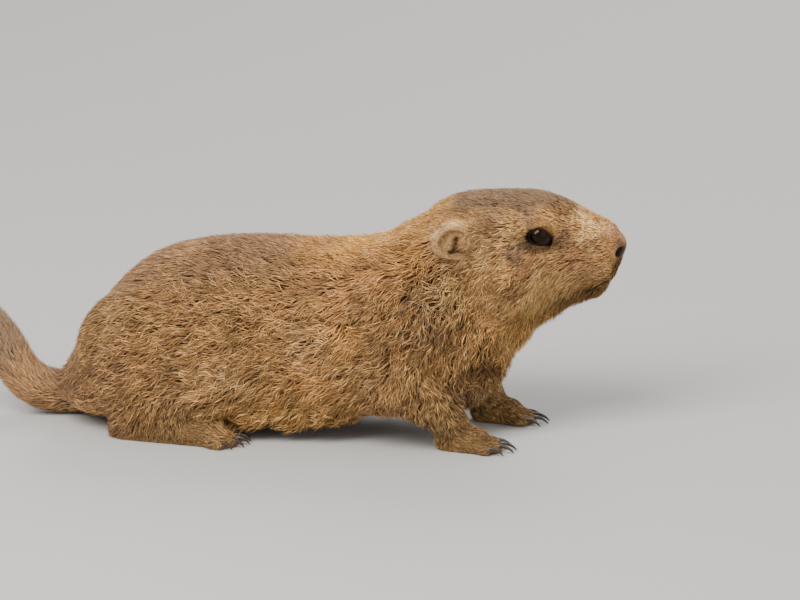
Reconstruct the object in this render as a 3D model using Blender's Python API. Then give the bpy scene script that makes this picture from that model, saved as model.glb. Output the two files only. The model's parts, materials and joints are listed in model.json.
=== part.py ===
"""An alpine marmot crouched on all fours with its head up, as a still, life-size model.

Metres, +Z up, the nose towards +X and the animal's left towards +Y. The origin is on the
floor, under the middle of the animal's box. The body is fused whole from plain rounded
forms, and then parted with thin cuts along the seams that a person would name.
"""

import math
import random

import bmesh
import bpy
from mathutils import Matrix, Vector
from mathutils.bvhtree import BVHTree

MM = 0.001
GAP = 0.3 * MM
RIGHT = -1
LEFT = 1
SIDE_NAMES = {RIGHT: "right", LEFT: "left"}
# The exact solver loses the head and turns the trunk inside out once their locks are joined,
# so every Boolean here uses the other one, on meshes that are all closed.
SOLVER = "MANIFOLD"

# ---- Driving sizes, in millimetres unless the name says otherwise ----

# The trunk from rump to neck: place along the body, top, bottom and half width of the coat.
TRUNK = (
    (-172, 27, 18, 6),
    (-168, 35, 12, 20),
    (-160, 48, 8, 36),
    (-146, 72, 6, 49),
    (-128, 95, 6, 57),
    (-104, 111, 7, 62),
    (-72, 119, 9, 63),
    (-34, 122, 12, 60),
    (4, 122.5, 13, 56),
    (36, 127, 15, 52),
    (58, 138, 21, 46),
    (76, 148, 33, 39),
    (92, 148, 52, 29),
    (102, 136, 78, 14),
)
CHEST = ((82, 0, 50), (30, 36, 34))
THROAT = ((94, 0, 72, 31), (114, 0, 87, 26), (134, 0, 97, 19), (152, 0, 101, 13))

# The head from the nape to the nose, in the same four columns.
SKULL = (
    (66, 144, 104, 12),
    (75, 151, 92, 27),
    (90, 155.5, 84, 34),
    (106, 157, 78, 36),
    (122, 157.5, 78, 33.5),
    (136, 157, 81, 29),
    (148, 154, 86, 24),
    (160, 148.5, 91, 20.5),
    (170, 143, 95, 18),
    (180.5, 138, 102, 15.5),
    (188, 131.5, 110, 11),
    (191, 126, 118, 4.5),
)
CHEEK = ((110, 21, 107), (32, 20, 27))
WHISKER_PAD = ((173, 8.5, 112), (14, 9.5, 11))
CHIN = ((164, 0, 100), (12.5, 11, 8.5))
BROW = ((131, 15, 143), (20, 12, 9))
NOSE_PAD = ((187.5, 0, 124), (5.5, 7.5, 6.5))

EYE_RADIUS = 8.2
EYE_PLACE = (138, 136)
EYE_AXIS = (0.28, 1.0, 0.20)
EYE_DEPTH = 5.4
LID_THICKNESS = 1.4
# The almond between the lids: how far it reaches towards the nose, back, up and down, and
# how far its front corner drops.
LID_OPENING = (9.6, 7.8, 5.4, 5.0)
LID_DROP = 1.8
# The almond widens outwards: how far out each ring lies, and its share of that reach.
LID_FLARE = ((1.0, 0.25), (4.5, 0.86), (8.0, 1.06), (16.0, 1.3))

NOSTRIL_PLACE = (189.5, 4.8, 120.5)
NOSTRIL_RADII = (4.0, 1.7, 2.6)
MOUTH_LINE = ((181, 105.5), (174, 101), (166, 98.5), (158, 98.5), (151, 100.5))
MOUTH_RADIUS = 1.0
PHILTRUM = ((193, 118), (189.5, 113), (184, 107))
PHILTRUM_RADIUS = 0.9

EAR_PLACE = (90, 33.5, 131)
EAR_WIDTH = 25
EAR_HEIGHT = 25
EAR_FACING = (0.45, 0.88, 0.10)
EAR_LEAN = -0.15
EAR_NOTCH = 0.16
EAR_SIDES = 18
EAR_HOLLOW = (7.0, 7.8, 9.0)
# Each ring of the cup: its share of the half size, and how far out it lies, from the back
# of the ear over the rim to the bottom of the cup.
EAR_PROFILE = (
    (0.10, -0.95),
    (0.55, -0.80),
    (0.85, -0.42),
    (1.00, 0.08),
    (1.00, 0.30),
    (0.89, 0.37),
    (0.78, 0.27),
    (0.66, -0.05),
    (0.45, -0.35),
    (0.10, -0.50),
)

# Limbs. Y is the distance from the middle plane, and a step moves one side's limb forward.
FORE_STEP = {RIGHT: 0, LEFT: 9}
HIND_STEP = {RIGHT: 0, LEFT: -8}
SHOULDER = ((52, 32, 78), (34, 23, 42))
UPPER_ARM = ((46, 42, 48), (21, 15, 29))
FOREARM = ((50, 43, 44, 18), (74, 39, 30, 15.5), (90, 35, 16, 11.5))
FORE_PALM = ((85, 34, 6, 8.5), (94, 34, 6, 10), (103, 34, 5.5, 10))
HAUNCH = ((-104, 38, 51), (50, 29, 47))
KNEE = ((-68, 46, 38), (28, 19, 27))
SHANK = ((-66, 50, 27, 14), (-92, 51, 20, 14), (-118, 50, 13, 12))
HIND_SOLE = ((-120, 50, 7, 10), (-92, 52, 7, 11), (-64, 53, 6, 11.5))
FORE_TOES = ((106, 114), (106, 118), (106, 117.5), (106, 112))
HIND_TOES = ((-61, -51), (-59, -47), (-59, -46), (-59, -48), (-61, -54))
FORE_TOE_SPREAD = (5.4, 6.9)
HIND_TOE_SPREAD = (5.2, 6.7)
TOE_RADIUS = (4.4, 3.7)
TOE_LIFT = (4.4, 3.4)
FORE_CLAW_LENGTH = 11
HIND_CLAW_LENGTH = 9
CLAW_RADIUS = 1.6

# The tail's middle line with the radius of its coat, from inside the rump to the tip.
TAIL = (
    (-150, 0, 18, 14),
    (-166, -3, 13.4, 14),
    (-178, -7, 13.7, 14),
    (-191, -11, 19.5, 13.5),
    (-201, -13, 32, 13),
    (-208, -14, 46, 13),
    (-217, -14, 58, 12.5),
    (-228, -13, 69, 10.5),
    (-240, -12, 79, 6),
)

# Locks of long coat: the ring shares of a lock's length, width, thickness and height over the
# skin, from its sunk root to its tip.
LOCK_RINGS = (
    (0.00, 0.75, 1.00, -1.00),
    (0.50, 1.00, 0.85, 0.40),
    (1.00, 0.12, 0.25, 1.00),
)
LOCK_SINK = 3.0
LOCK_LIFT = 2.6
LOCK_THICKNESS = 3.2
LOCK_SEED = 11
LOCK_SWAY = 0.16
LOCK_SIZES = (0.85, 1.12)
# The surface that faces forwards more than this keeps its short coat.
FACING_LIMIT = 0.8
FLOOR_CLEARANCE = 1.2

# Where they grow on the body, by node: a rounded patch as a centre and three radii, the way
# that the coat lies there, the locks' length, width and spacing, and how far they hang
# straight, from 0 where they lie along the skin to 1 where they hang free.
LOCK_PATCHES = (
    ("head", ((118, 31, 98), (25, 19, 17)), (-0.90, 0.20, -0.42), 24, 15, 15.5, 0.15),
    ("head", ((130, 0, 84), (22, 20, 13)), (-0.86, 0.10, -0.50), 22, 15, 15.5, 0.15),
    ("neck", ((99, 34, 92), (22, 26, 24)), (-0.62, 0.12, -0.78), 29, 18, 19, 0.15),
    ("neck", ((106, 0, 62), (20, 32, 20)), (-0.35, 0.08, -0.94), 29, 18, 19, 0.15),
)

# The fringe along each lower flank: its ends along the body, its height, the way that its
# locks hang, how far straight, and their number, length and width.
FRINGE_ENDS = (-36, 50)
FRINGE_HEIGHT = 27
FRINGE_LIE = (-0.50, 0.0, -0.87)
FRINGE_HANG = 0.85
FRINGE_COUNT = 11
FRINGE_LOCK_SIZE = (26, 15)

# The tail's coat: how much of its radius is core at each place, and its locks' rows, number
# to a row, length, width and thickness.
TAIL_CORE = (0.95, 0.95, 0.84, 0.66, 0.60, 0.60, 0.60, 0.58, 0.50)
TAIL_LOCK_ROWS = 5
TAIL_LOCKS_IN_ROW = 5
TAIL_LOCK_SIZE = (35, 15.5, 3.2)

# Seams: planes as a point and a normal, and rounded limits as a centre and three radii.
HEAD_SEAM = ((94, 0, 108), (0.894, 0, 0.447))
NECK_SEAM = ((73, 0, 86), (0.86, 0, 0.51))
TAIL_SEAM = ((-170, 0, 16), (-0.97, 0, -0.24))
TAIL_MIDDLE_SEAM = ((-204, 0, 39), (-0.45, 0, 0.89))
FORELEG_LIMIT = ((72, 45, 46), (45, 28, 58))
FOREFOOT_LIMIT = ((106, 34, 2), (31, 25, 16))
HINDLEG_LIMIT = ((-99, 57, 42), (62, 33, 60))
HINDFOOT_LIMIT = ((-86, 52, 0), (56, 27, 17.5))

# The head is turned a little to the left, about the root of the neck.
HEAD_TURN_DEG = 10
TURN_PIVOT_X = 60
TURN_FROM_X, TURN_TO_X = 56, 100
TURN_FROM_Z, TURN_TO_Z = 45, 92

# Mesh density: the voxels of the two fusings, and the faces that each copy of the body has.
BROAD_VOXEL = 3.2
FINE_VOXEL = 1.5
BROAD_SMOOTHING = 14
FINE_SMOOTHING = 5
HEAD_DETAIL = 8500
FOOT_DETAIL = 3500
BODY_DETAIL = 3000

FUR_BROWN = (0.235, 0.150, 0.085)
FUR_HEAD = (0.270, 0.185, 0.115)
FUR_TAIL = (0.120, 0.085, 0.065)
FUR_FOOT = (0.300, 0.205, 0.115)
EAR_TAN = (0.400, 0.300, 0.190)
CLAW_DARK = (0.035, 0.028, 0.024)
EYE_DARK = (0.012, 0.009, 0.008)


# ---- Making and joining meshes ----


def metres(point):
    return Vector(point) * MM


def link(name, mesh):
    obj = bpy.data.objects.new(name, mesh)
    bpy.context.scene.collection.objects.link(obj)
    return obj


def remove(obj):
    mesh = obj.data
    bpy.data.objects.remove(obj)
    bpy.data.meshes.remove(mesh)


def object_from(bm, name="form"):
    """A bmesh made into a linked object, with its faces pointing outwards."""
    bm.normal_update()
    bmesh.ops.recalc_face_normals(bm, faces=bm.faces)
    mesh = bpy.data.meshes.new(name)
    bm.to_mesh(mesh)
    bm.free()
    return link(name, mesh)


def copy_of(obj):
    return link(obj.name, obj.data.copy())


def apply_modifiers(obj):
    """Makes the mesh what the modifiers show."""
    graph = bpy.context.evaluated_depsgraph_get()
    shown = bpy.data.meshes.new_from_object(obj.evaluated_get(graph))
    old = obj.data
    obj.modifiers.clear()
    obj.data = shown
    bpy.data.meshes.remove(old)
    return obj


def boolean(obj, other, operation):
    """Cuts, joins or keeps obj with other, which is used up."""
    modifier = obj.modifiers.new(operation.lower(), "BOOLEAN")
    modifier.operation = operation
    modifier.object = other
    modifier.solver = SOLVER
    apply_modifiers(obj)
    remove(other)
    return obj


def join_all(obj, others):
    """One union of obj with a collection of closed forms, which are used up."""
    gathered = bpy.data.collections.new("gathered")
    bpy.context.scene.collection.children.link(gathered)
    for other in others:
        gathered.objects.link(other)
    modifier = obj.modifiers.new("union", "BOOLEAN")
    modifier.operation = "UNION"
    modifier.operand_type = "COLLECTION"
    modifier.collection = gathered
    modifier.solver = SOLVER
    apply_modifiers(obj)
    for other in others:
        remove(other)
    bpy.data.collections.remove(gathered)
    return obj


def fuse(forms, voxel, smoothing):
    """Overlapping closed forms melted into one skin, with the creases between them softened."""
    bm = bmesh.new()
    for form in forms:
        bm.from_mesh(form.data)
        remove(form)
    whole = object_from(bm, "whole")
    remesh = whole.modifiers.new("melt", "REMESH")
    remesh.mode = "VOXEL"
    remesh.voxel_size = voxel * MM
    smooth = whole.modifiers.new("soften", "SMOOTH")
    smooth.factor = 0.5
    smooth.iterations = smoothing
    return apply_modifiers(whole)


def coarser(obj, faces):
    """A copy of obj with about so many triangles."""
    made = copy_of(obj)
    triangles = made.modifiers.new("triangles", "TRIANGULATE")
    triangles.keep_custom_normals = False
    apply_modifiers(made)
    decimate = made.modifiers.new("coarser", "DECIMATE")
    decimate.ratio = faces / len(made.data.polygons)
    return apply_modifiers(made)


def largest_shell(obj):
    """Keeps the closed surface that reaches furthest, and drops sealed hollows and scraps."""
    bm = bmesh.new()
    bm.from_mesh(obj.data)
    bm.verts.ensure_lookup_table()
    left = set(bm.verts)
    shells = []
    while left:
        front = [left.pop()]
        shell = set(front)
        while front:
            for edge in front.pop().link_edges:
                for vert in edge.verts:
                    if vert in left:
                        left.remove(vert)
                        shell.add(vert)
                        front.append(vert)
        shells.append(shell)

    def extent(shell):
        xs = [vert.co.x for vert in shell]
        zs = [vert.co.z for vert in shell]
        return (max(xs) - min(xs)) + (max(zs) - min(zs))

    shells.sort(key=extent)
    dropped = [vert for shell in shells[:-1] for vert in shell]
    bmesh.ops.delete(bm, geom=dropped, context="VERTS")
    bm.to_mesh(obj.data)
    bm.free()
    return obj


# ---- Plain forms ----


def ellipsoid(center, radii, segments=24, rings=14, turn=None):
    bm = bmesh.new()
    bmesh.ops.create_uvsphere(bm, u_segments=segments, v_segments=rings, radius=1)
    size = Matrix.Diagonal((*metres(radii), 1))
    turned = (turn or Matrix.Identity(3)).to_4x4()
    bm.transform(Matrix.Translation(metres(center)) @ turned @ size)
    return object_from(bm)


def mirrored(center, side, step=0):
    """A right or left place from one that is given with Y away from the middle plane."""
    return (center[0] + step, side * center[1], center[2])


def curve_through(rows, per_span):
    """Points on the Catmull-Rom curve through rows of numbers, with so many to a span."""
    padded = [rows[0], *rows, rows[-1]]
    points = []
    for i in range(len(rows) - 1):
        p0, p1, p2, p3 = padded[i : i + 4]
        for step in range(per_span):
            t = step / per_span
            points.append(
                tuple(
                    0.5
                    * (
                        2 * b
                        + (c - a) * t
                        + (2 * a - 5 * b + 4 * c - d) * t**2
                        + (3 * b - a - 3 * c + d) * t**3
                    )
                    for a, b, c, d in zip(p0, p1, p2, p3)
                )
            )
    points.append(tuple(rows[-1]))
    return points


def skin_over(bm, rings):
    """Joins rings of points into one closed tube with flat ends."""
    loops = [[bm.verts.new(point) for point in ring] for ring in rings]
    for first, second in zip(loops, loops[1:]):
        count = len(first)
        for k in range(count):
            after = (k + 1) % count
            bm.faces.new((first[k], first[after], second[after], second[k]))
    bm.faces.new(reversed(loops[0]))
    bm.faces.new(loops[-1])


def upright_loft(stations, per_span=3, sides=32, widest=0.5, squareness=0.92):
    """A long form from upright sections, each with a place, a top, a bottom and a half width.

    Widest is how high up the section its widest place is, and squareness is the power for
    its lower half: 1 is an ellipse, and less is squarer.
    """
    rings = []
    for x, top, bottom, half_width in curve_through(stations, per_span):
        middle = bottom + (top - bottom) * widest
        ring = []
        for k in range(sides):
            angle = 2 * math.pi * k / sides
            power = squareness if math.sin(angle) < 0 else 0.92
            height = middle - bottom if math.sin(angle) < 0 else top - middle
            across = math.copysign(abs(math.cos(angle)) ** power, math.cos(angle))
            upward = math.copysign(abs(math.sin(angle)) ** power, math.sin(angle))
            ring.append(metres((x, half_width * across, middle + height * upward)))
        rings.append(ring)
    bm = bmesh.new()
    skin_over(bm, rings)
    return object_from(bm)


def frames_along(rows, per_span):
    """Points along rows of x, y, z and radius, each with its forward, side and up directions."""
    samples = curve_through(rows, per_span)
    points = [Vector(sample[:3]) for sample in samples]
    across = Vector((0, 1, 0))
    frames = []
    for i, (point, sample) in enumerate(zip(points, samples)):
        along = points[min(i + 1, len(points) - 1)] - points[max(i - 1, 0)]
        along.normalize()
        across = (across - along * across.dot(along)).normalized()
        frames.append((point, along, across, along.cross(across), *sample[3:]))
    return frames


def limb(rows, per_span=4, sides=16, grow=0, rounded=True):
    """A tapering round limb along rows of x, y, z and radius, with rounded ends."""
    frames = frames_along([(x, y, z, radius + grow) for x, y, z, radius in rows], per_span)
    rings = []
    for i, (point, along, across, upward, radius) in enumerate(frames):
        tilts = [0]
        if rounded and i == 0:
            tilts = [-75, -45, -20, 0]
        if rounded and i == len(frames) - 1:
            tilts = [0, 20, 45, 75]
        for tilt in tilts:
            angle = math.radians(tilt)
            center = point + along * radius * math.sin(angle)
            width = radius * math.cos(angle)
            rings.append(
                [
                    (center + (across * math.cos(a) + upward * math.sin(a)) * width) * MM
                    for a in (2 * math.pi * k / sides for k in range(sides))
                ]
            )
    bm = bmesh.new()
    skin_over(bm, rings)
    return object_from(bm)


# ---- Seams ----


def beyond_plane(seam, grow):
    """A large block that fills all the space on the far side of a seam's plane."""
    size = 1.0
    point, normal = metres(seam[0]), Vector(seam[1]).normalized()
    bm = bmesh.new()
    bmesh.ops.create_cube(bm, size=size)
    turned = normal.to_track_quat("Z", "Y").to_matrix().to_4x4()
    center = point + normal * (size / 2 - grow)
    bm.transform(Matrix.Translation(center) @ turned)
    return object_from(bm)


def inside_limit(limit, side, step, grow):
    """A rounded block that holds one limb."""
    center, radii = limit
    grown = [radius + grow / MM for radius in radii]
    return ellipsoid(mirrored(center, side, step), grown, segments=16, rings=8)


def head_region(grow):
    return beyond_plane(HEAD_SEAM, grow)


def neck_region(grow):
    return beyond_plane(NECK_SEAM, grow)


def tail_region(grow):
    return beyond_plane(TAIL_SEAM, grow)


def below_floor(grow):
    return beyond_plane(((0, 0, 0), (0, 0, -1)), grow)


def limb_region(limit, side, steps):
    return lambda grow: inside_limit(limit, side, steps[side], grow)


def parted(body, faces, keep=(), drop=(), locks=()):
    """The stretch of the body inside every region of keep and outside every one of drop."""
    made = coarser(body, faces)
    if locks:
        join_all(made, locks)
    for region in keep:
        boolean(made, region(-GAP / 2), "INTERSECT")
    for region in drop:
        boolean(made, region(GAP / 2), "DIFFERENCE")
    boolean(made, below_floor(0), "DIFFERENCE")
    return largest_shell(made)


# ---- The body ----


def foot_forms(palm, toes, spread, side, step):
    """The sole and the toes of one foot."""
    forms = [limb([mirrored(row, side, step) + (row[3],) for row in palm])]
    middle = palm[-1][1]
    for root, tip in toe_lines(toes, spread, middle, side, step):
        forms.append(limb([(*root, TOE_RADIUS[0]), (*tip, TOE_RADIUS[1])]))
    return forms


def toe_lines(toes, spread, middle, side, step):
    """Each toe's root and tip. The toes fan out, and the first one is on the inner side."""
    lines = []
    for number, (root_x, tip_x) in enumerate(toes):
        place = number - (len(toes) - 1) / 2
        root = mirrored((root_x, middle + place * spread[0], TOE_LIFT[0]), side, step)
        tip = mirrored((tip_x, middle + place * spread[1], TOE_LIFT[1]), side, step)
        lines.append((root, tip))
    return lines


def limb_forms(side):
    """The legs and feet of one side."""
    fore, hind = FORE_STEP[side], HIND_STEP[side]
    forms = [
        ellipsoid(mirrored(SHOULDER[0], side), SHOULDER[1]),
        ellipsoid(mirrored(UPPER_ARM[0], side, fore / 2), UPPER_ARM[1]),
        ellipsoid(mirrored(HAUNCH[0], side), HAUNCH[1]),
        ellipsoid(mirrored(KNEE[0], side, hind / 2), KNEE[1]),
    ]
    for rows, step in ((FOREARM, fore), (SHANK, hind)):
        # The upper end stays with the body, and the foot's end takes the whole step.
        last = len(rows) - 1
        forms.append(
            limb(
                [
                    mirrored(row, side, step * (0.5 + 0.5 * i / last)) + (row[3],)
                    for i, row in enumerate(rows)
                ]
            )
        )
    return forms


def head_forms():
    """The skull's whole length with the muzzle's own forms, which stay crisp."""
    forms = [upright_loft(SKULL), ellipsoid(*CHIN), ellipsoid(*NOSE_PAD)]
    for side in (RIGHT, LEFT):
        forms.append(ellipsoid(mirrored(WHISKER_PAD[0], side), WHISKER_PAD[1]))
    return forms


def make_body():
    """The whole animal but its eyes, ears, claws and tail."""
    trunk = upright_loft(TRUNK, widest=0.42, squareness=0.66)
    broad = [trunk, ellipsoid(*CHEST), limb(TAIL[:3])]
    for side in (RIGHT, LEFT):
        broad += limb_forms(side)
        for center, radii in (CHEEK, BROW):
            broad.append(ellipsoid(mirrored(center, side), radii))
    broad += [upright_loft(SKULL[:8]), limb(THROAT, sides=24)]
    melted = fuse(broad, BROAD_VOXEL, BROAD_SMOOTHING)
    fine = [melted, *head_forms()]
    for side in (RIGHT, LEFT):
        fine += foot_forms(FORE_PALM, FORE_TOES, FORE_TOE_SPREAD, side, FORE_STEP[side])
        fine += foot_forms(HIND_SOLE, HIND_TOES, HIND_TOE_SPREAD, side, HIND_STEP[side])
    return fuse(fine, FINE_VOXEL, FINE_SMOOTHING)


# ---- The turn of the head ----


def smooth_step(value, low, high):
    share = min(max((value - low) / (high - low), 0), 1)
    return share * share * (3 - 2 * share)


def turn_head(obj):
    """Bends the neck to the left by a smooth turn about an upright line."""
    pivot = TURN_PIVOT_X * MM
    for vert in obj.data.vertices:
        x, y, z = vert.co
        share = smooth_step(x / MM, TURN_FROM_X, TURN_TO_X)
        share *= smooth_step(z / MM, TURN_FROM_Z, TURN_TO_Z)
        angle = math.radians(HEAD_TURN_DEG) * share
        reach = x - pivot
        vert.co.x = pivot + reach * math.cos(angle) - y * math.sin(angle)
        vert.co.y = reach * math.sin(angle) + y * math.cos(angle)
    return obj


# ---- The head's own forms ----


def surface_of(obj):
    bm = bmesh.new()
    bm.from_mesh(obj.data)
    tree = BVHTree.FromBMesh(bm)
    bm.free()
    return tree


def side_point(surface, x, z, side):
    """Where the skin is, straight out to one side from the middle plane, in millimetres."""
    outside = metres((x, side * 90, z))
    hit = surface.ray_cast(outside, Vector((0, -side, 0)))[0]
    return hit / MM


def eye_frame(surface, side):
    """The eyeball's middle and the way that it looks."""
    axis = Vector((EYE_AXIS[0], side * EYE_AXIS[1], EYE_AXIS[2])).normalized()
    place = side_point(surface, *EYE_PLACE, side)
    return place - axis * EYE_DEPTH, axis


def carve(head, form, operation="DIFFERENCE"):
    """Cuts a form into the head, or joins it, once it is turned as the head is."""
    return boolean(head, turn_head(form), operation)


def eye_opening(center, axis):
    """An almond that widens outwards from the front half of the eyeball."""
    upward = (Vector((0, 0, 1)) - axis * axis.z).normalized()
    forward = upward.cross(axis)
    if forward.x < 0:
        forward = -forward
    front, back, above, below = LID_OPENING
    rings = []
    for depth, share in LID_FLARE:
        ring = []
        for k in range(16):
            angle = 2 * math.pi * k / 16
            along = math.cos(angle) * (front if math.cos(angle) > 0 else back)
            height = math.sin(angle) * (above if math.sin(angle) > 0 else below)
            height *= 0.75 + 0.25 * abs(math.sin(angle))
            height -= LID_DROP * max(math.cos(angle), 0) ** 2
            point = forward * along * share + upward * height * share + axis * depth
            ring.append((center + point) * MM)
        rings.append(ring)
    bm = bmesh.new()
    skin_over(bm, rings)
    return object_from(bm)


def carve_eye(head, surface, side):
    """A lid that bulges over the eyeball, opened to an almond, with the socket behind it."""
    center, axis = eye_frame(surface, side)
    outer = EYE_RADIUS + LID_THICKNESS
    carve(head, ellipsoid(center, [outer] * 3, 18, 12), "UNION")
    carve(head, eye_opening(center, axis))
    socket = EYE_RADIUS + GAP / MM
    carve(head, ellipsoid(center, [socket] * 3, 14, 9))
    return turn_head(ellipsoid(center, [EYE_RADIUS] * 3, 14, 9))


def carve_mouth(head, surface):
    """The line of the mouth, the cleft under the nose and the nostrils."""
    line = []
    for side in (RIGHT, LEFT):
        half = [(x, side_point(surface, x, z, side).y, z) for x, z in MOUTH_LINE]
        line = half[::-1] if side == RIGHT else line + half
    front = MOUTH_LINE[0]
    line.insert(len(MOUTH_LINE), (front[0] + 3.0, 0, front[1] + 0.5))
    groove = [(*point, MOUTH_RADIUS) for point in line]
    carve(head, limb(groove, per_span=2, sides=6))
    cleft = [(x, 0, z, PHILTRUM_RADIUS) for x, z in PHILTRUM]
    carve(head, limb(cleft, per_span=2, sides=6))
    x, y, z = NOSTRIL_PLACE
    for side in (RIGHT, LEFT):
        tilt = Matrix.Rotation(side * math.radians(38), 3, "Z")
        nostril = ellipsoid((x, side * y, z), NOSTRIL_RADII, 12, 8, tilt)
        carve(head, nostril)


def ear_turn(side):
    """The ear's own directions as columns: towards the nose, upwards, and out of the cup."""
    outward = Vector((EAR_FACING[0], side * EAR_FACING[1], EAR_FACING[2])).normalized()
    upward = Vector((EAR_LEAN, 0, 1))
    upward = (upward - outward * upward.dot(outward)).normalized()
    forward = upward.cross(outward)
    if forward.x < 0:
        forward = -forward
    return Matrix((forward, upward, outward)).transposed()


def ear_cup(side):
    """A rounded ear like a shallow cup, with a thick rim that is lowest at the front."""
    turn = ear_turn(side)
    center = Vector(mirrored(EAR_PLACE, side))
    rings = []
    for share, depth in EAR_PROFILE:
        ring = []
        for k in range(EAR_SIDES):
            angle = 2 * math.pi * k / EAR_SIDES
            front = max(math.cos(angle + 0.5), 0) ** 2
            across = EAR_WIDTH / 2 * share * (1 - EAR_NOTCH * front) * math.cos(angle)
            upward = EAR_HEIGHT / 2 * share * math.sin(angle)
            outward = EAR_WIDTH / 2 * depth * (1 - 0.3 * front)
            ring.append((center + turn @ Vector((across, upward, outward))) * MM)
        rings.append(ring)
    bm = bmesh.new()
    skin_over(bm, rings)
    return object_from(bm)


def carve_ear_hollow(head, side):
    """The bottom of the ear's cup, sunk into the side of the head."""
    turn = ear_turn(side)
    forward, outward = turn.col[0], turn.col[2]
    center = Vector(mirrored(EAR_PLACE, side)) + forward * 2.0 - outward * 1.0
    carve(head, ellipsoid(center, EAR_HOLLOW, 16, 10, turn))


def make_ear(body, side):
    """The cup with a base that follows the side of the head, a seam's width off it."""
    ear = turn_head(ear_cup(side))
    grown = coarser(body, HEAD_DETAIL)
    displace = grown.modifiers.new("seam", "DISPLACE")
    displace.mid_level = 0
    displace.strength = GAP
    apply_modifiers(grown)
    boolean(ear, grown, "DIFFERENCE")
    return largest_shell(ear)


# ---- Locks ----


def lock_from(rings):
    """A flat tapered blade through rings of a middle, a sideways and an outward reach."""
    bm = bmesh.new()
    skin_over(
        bm,
        [
            [middle + across, middle + outward, middle - across, middle - outward]
            for middle, across, outward in rings
        ],
    )
    return object_from(bm, "lock")


def body_lock(surface, root, lie, length, width, hang):
    """A lock rooted in the skin that bends with it along the lie of the coat, or hangs."""
    rings = []
    place, normal = surface.find_nearest(root * MM)[:2]
    done = 0
    for share, wide, thick, high in LOCK_RINGS:
        along = (lie - normal * lie.dot(normal)).normalized()
        straight = place + along * (share - done) * length * MM
        lying, normal_there = surface.find_nearest(straight)[:2]
        place = lying.lerp(straight, hang)
        normal = normal_there.lerp(normal, hang).normalized()
        done = share
        height = LOCK_SINK * high if high < 0 else LOCK_LIFT * high
        across = along.cross(normal).normalized()
        middle = place + normal * height * MM
        middle.z = max(middle.z, (FLOOR_CLEARANCE + LOCK_THICKNESS / 2) * MM)
        rings.append(
            (middle, across * wide * width / 2 * MM, normal * thick * LOCK_THICKNESS / 2 * MM)
        )
    return lock_from(rings)


def slid_clear(root, lie, length, seam):
    """The root moved against the lie until the tip stops short of a seam's plane."""
    point, normal = Vector(seam[0]), Vector(seam[1]).normalized()
    short = 1.0 - (root + lie * length - point).dot(normal)
    if short > 0 and lie.dot(normal) < 0:
        root = root - lie * (short / -lie.dot(normal))
    return root


def body_locks(body, surface):
    """Each node's locks, spread evenly over its patches of long coat."""
    draw = random.Random(LOCK_SEED)
    places = [vert.co / MM for vert in body.data.vertices]
    normals = [vert.normal for vert in body.data.vertices]
    order = list(range(len(places)))
    draw.shuffle(order)
    locks = {}
    for node, (center, radii), lie, length, width, spacing, hang in LOCK_PATCHES:
        sides = (RIGHT, LEFT) if center[1] else (0,)
        for side in sides:
            middle = Vector((center[0], center[1] * side, center[2]))
            rooted = []
            for i in order:
                place = places[i]
                offset = place - middle
                inside = sum((offset[axis] / radii[axis]) ** 2 for axis in range(3)) < 1
                if not inside or normals[i].x > FACING_LIMIT:
                    continue
                if any((place - other).length < spacing for other in rooted):
                    continue
                rooted.append(place)
                outward = side or math.copysign(1, place.y)
                way = Vector((lie[0], lie[1] * outward, lie[2]))
                way = (way - normals[i] * way.dot(normals[i])).normalized()
                sway = draw.uniform(-LOCK_SWAY, LOCK_SWAY)
                way.rotate(Matrix.Rotation(sway, 3, normals[i]))
                size = draw.uniform(*LOCK_SIZES)
                seam = {"head": HEAD_SEAM, "neck": NECK_SEAM}.get(node)
                root = slid_clear(place, way, length * size, seam) if seam else place
                lock = body_lock(surface, root, way, length * size, width * size, hang)
                locks.setdefault(node, []).append(turn_head(lock))
    return locks


def fringe_locks(surface):
    """A close row of locks that hang from both lower flanks, between the legs."""
    draw = random.Random(LOCK_SEED)
    length, width = FRINGE_LOCK_SIZE
    first, last = FRINGE_ENDS
    locks = []
    for side in (RIGHT, LEFT):
        for number in range(FRINGE_COUNT):
            x = first + (last - first) * number / (FRINGE_COUNT - 1)
            root = side_point(surface, x, FRINGE_HEIGHT + draw.uniform(-3, 3), side)
            lie = Vector(FRINGE_LIE).normalized()
            lie.rotate(Matrix.Rotation(draw.uniform(-LOCK_SWAY, LOCK_SWAY), 3, "Y"))
            size = draw.uniform(*LOCK_SIZES)
            lock = body_lock(surface, root, lie, length * size, width * size, FRINGE_HANG)
            locks.append(turn_head(lock))
    return locks


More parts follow.
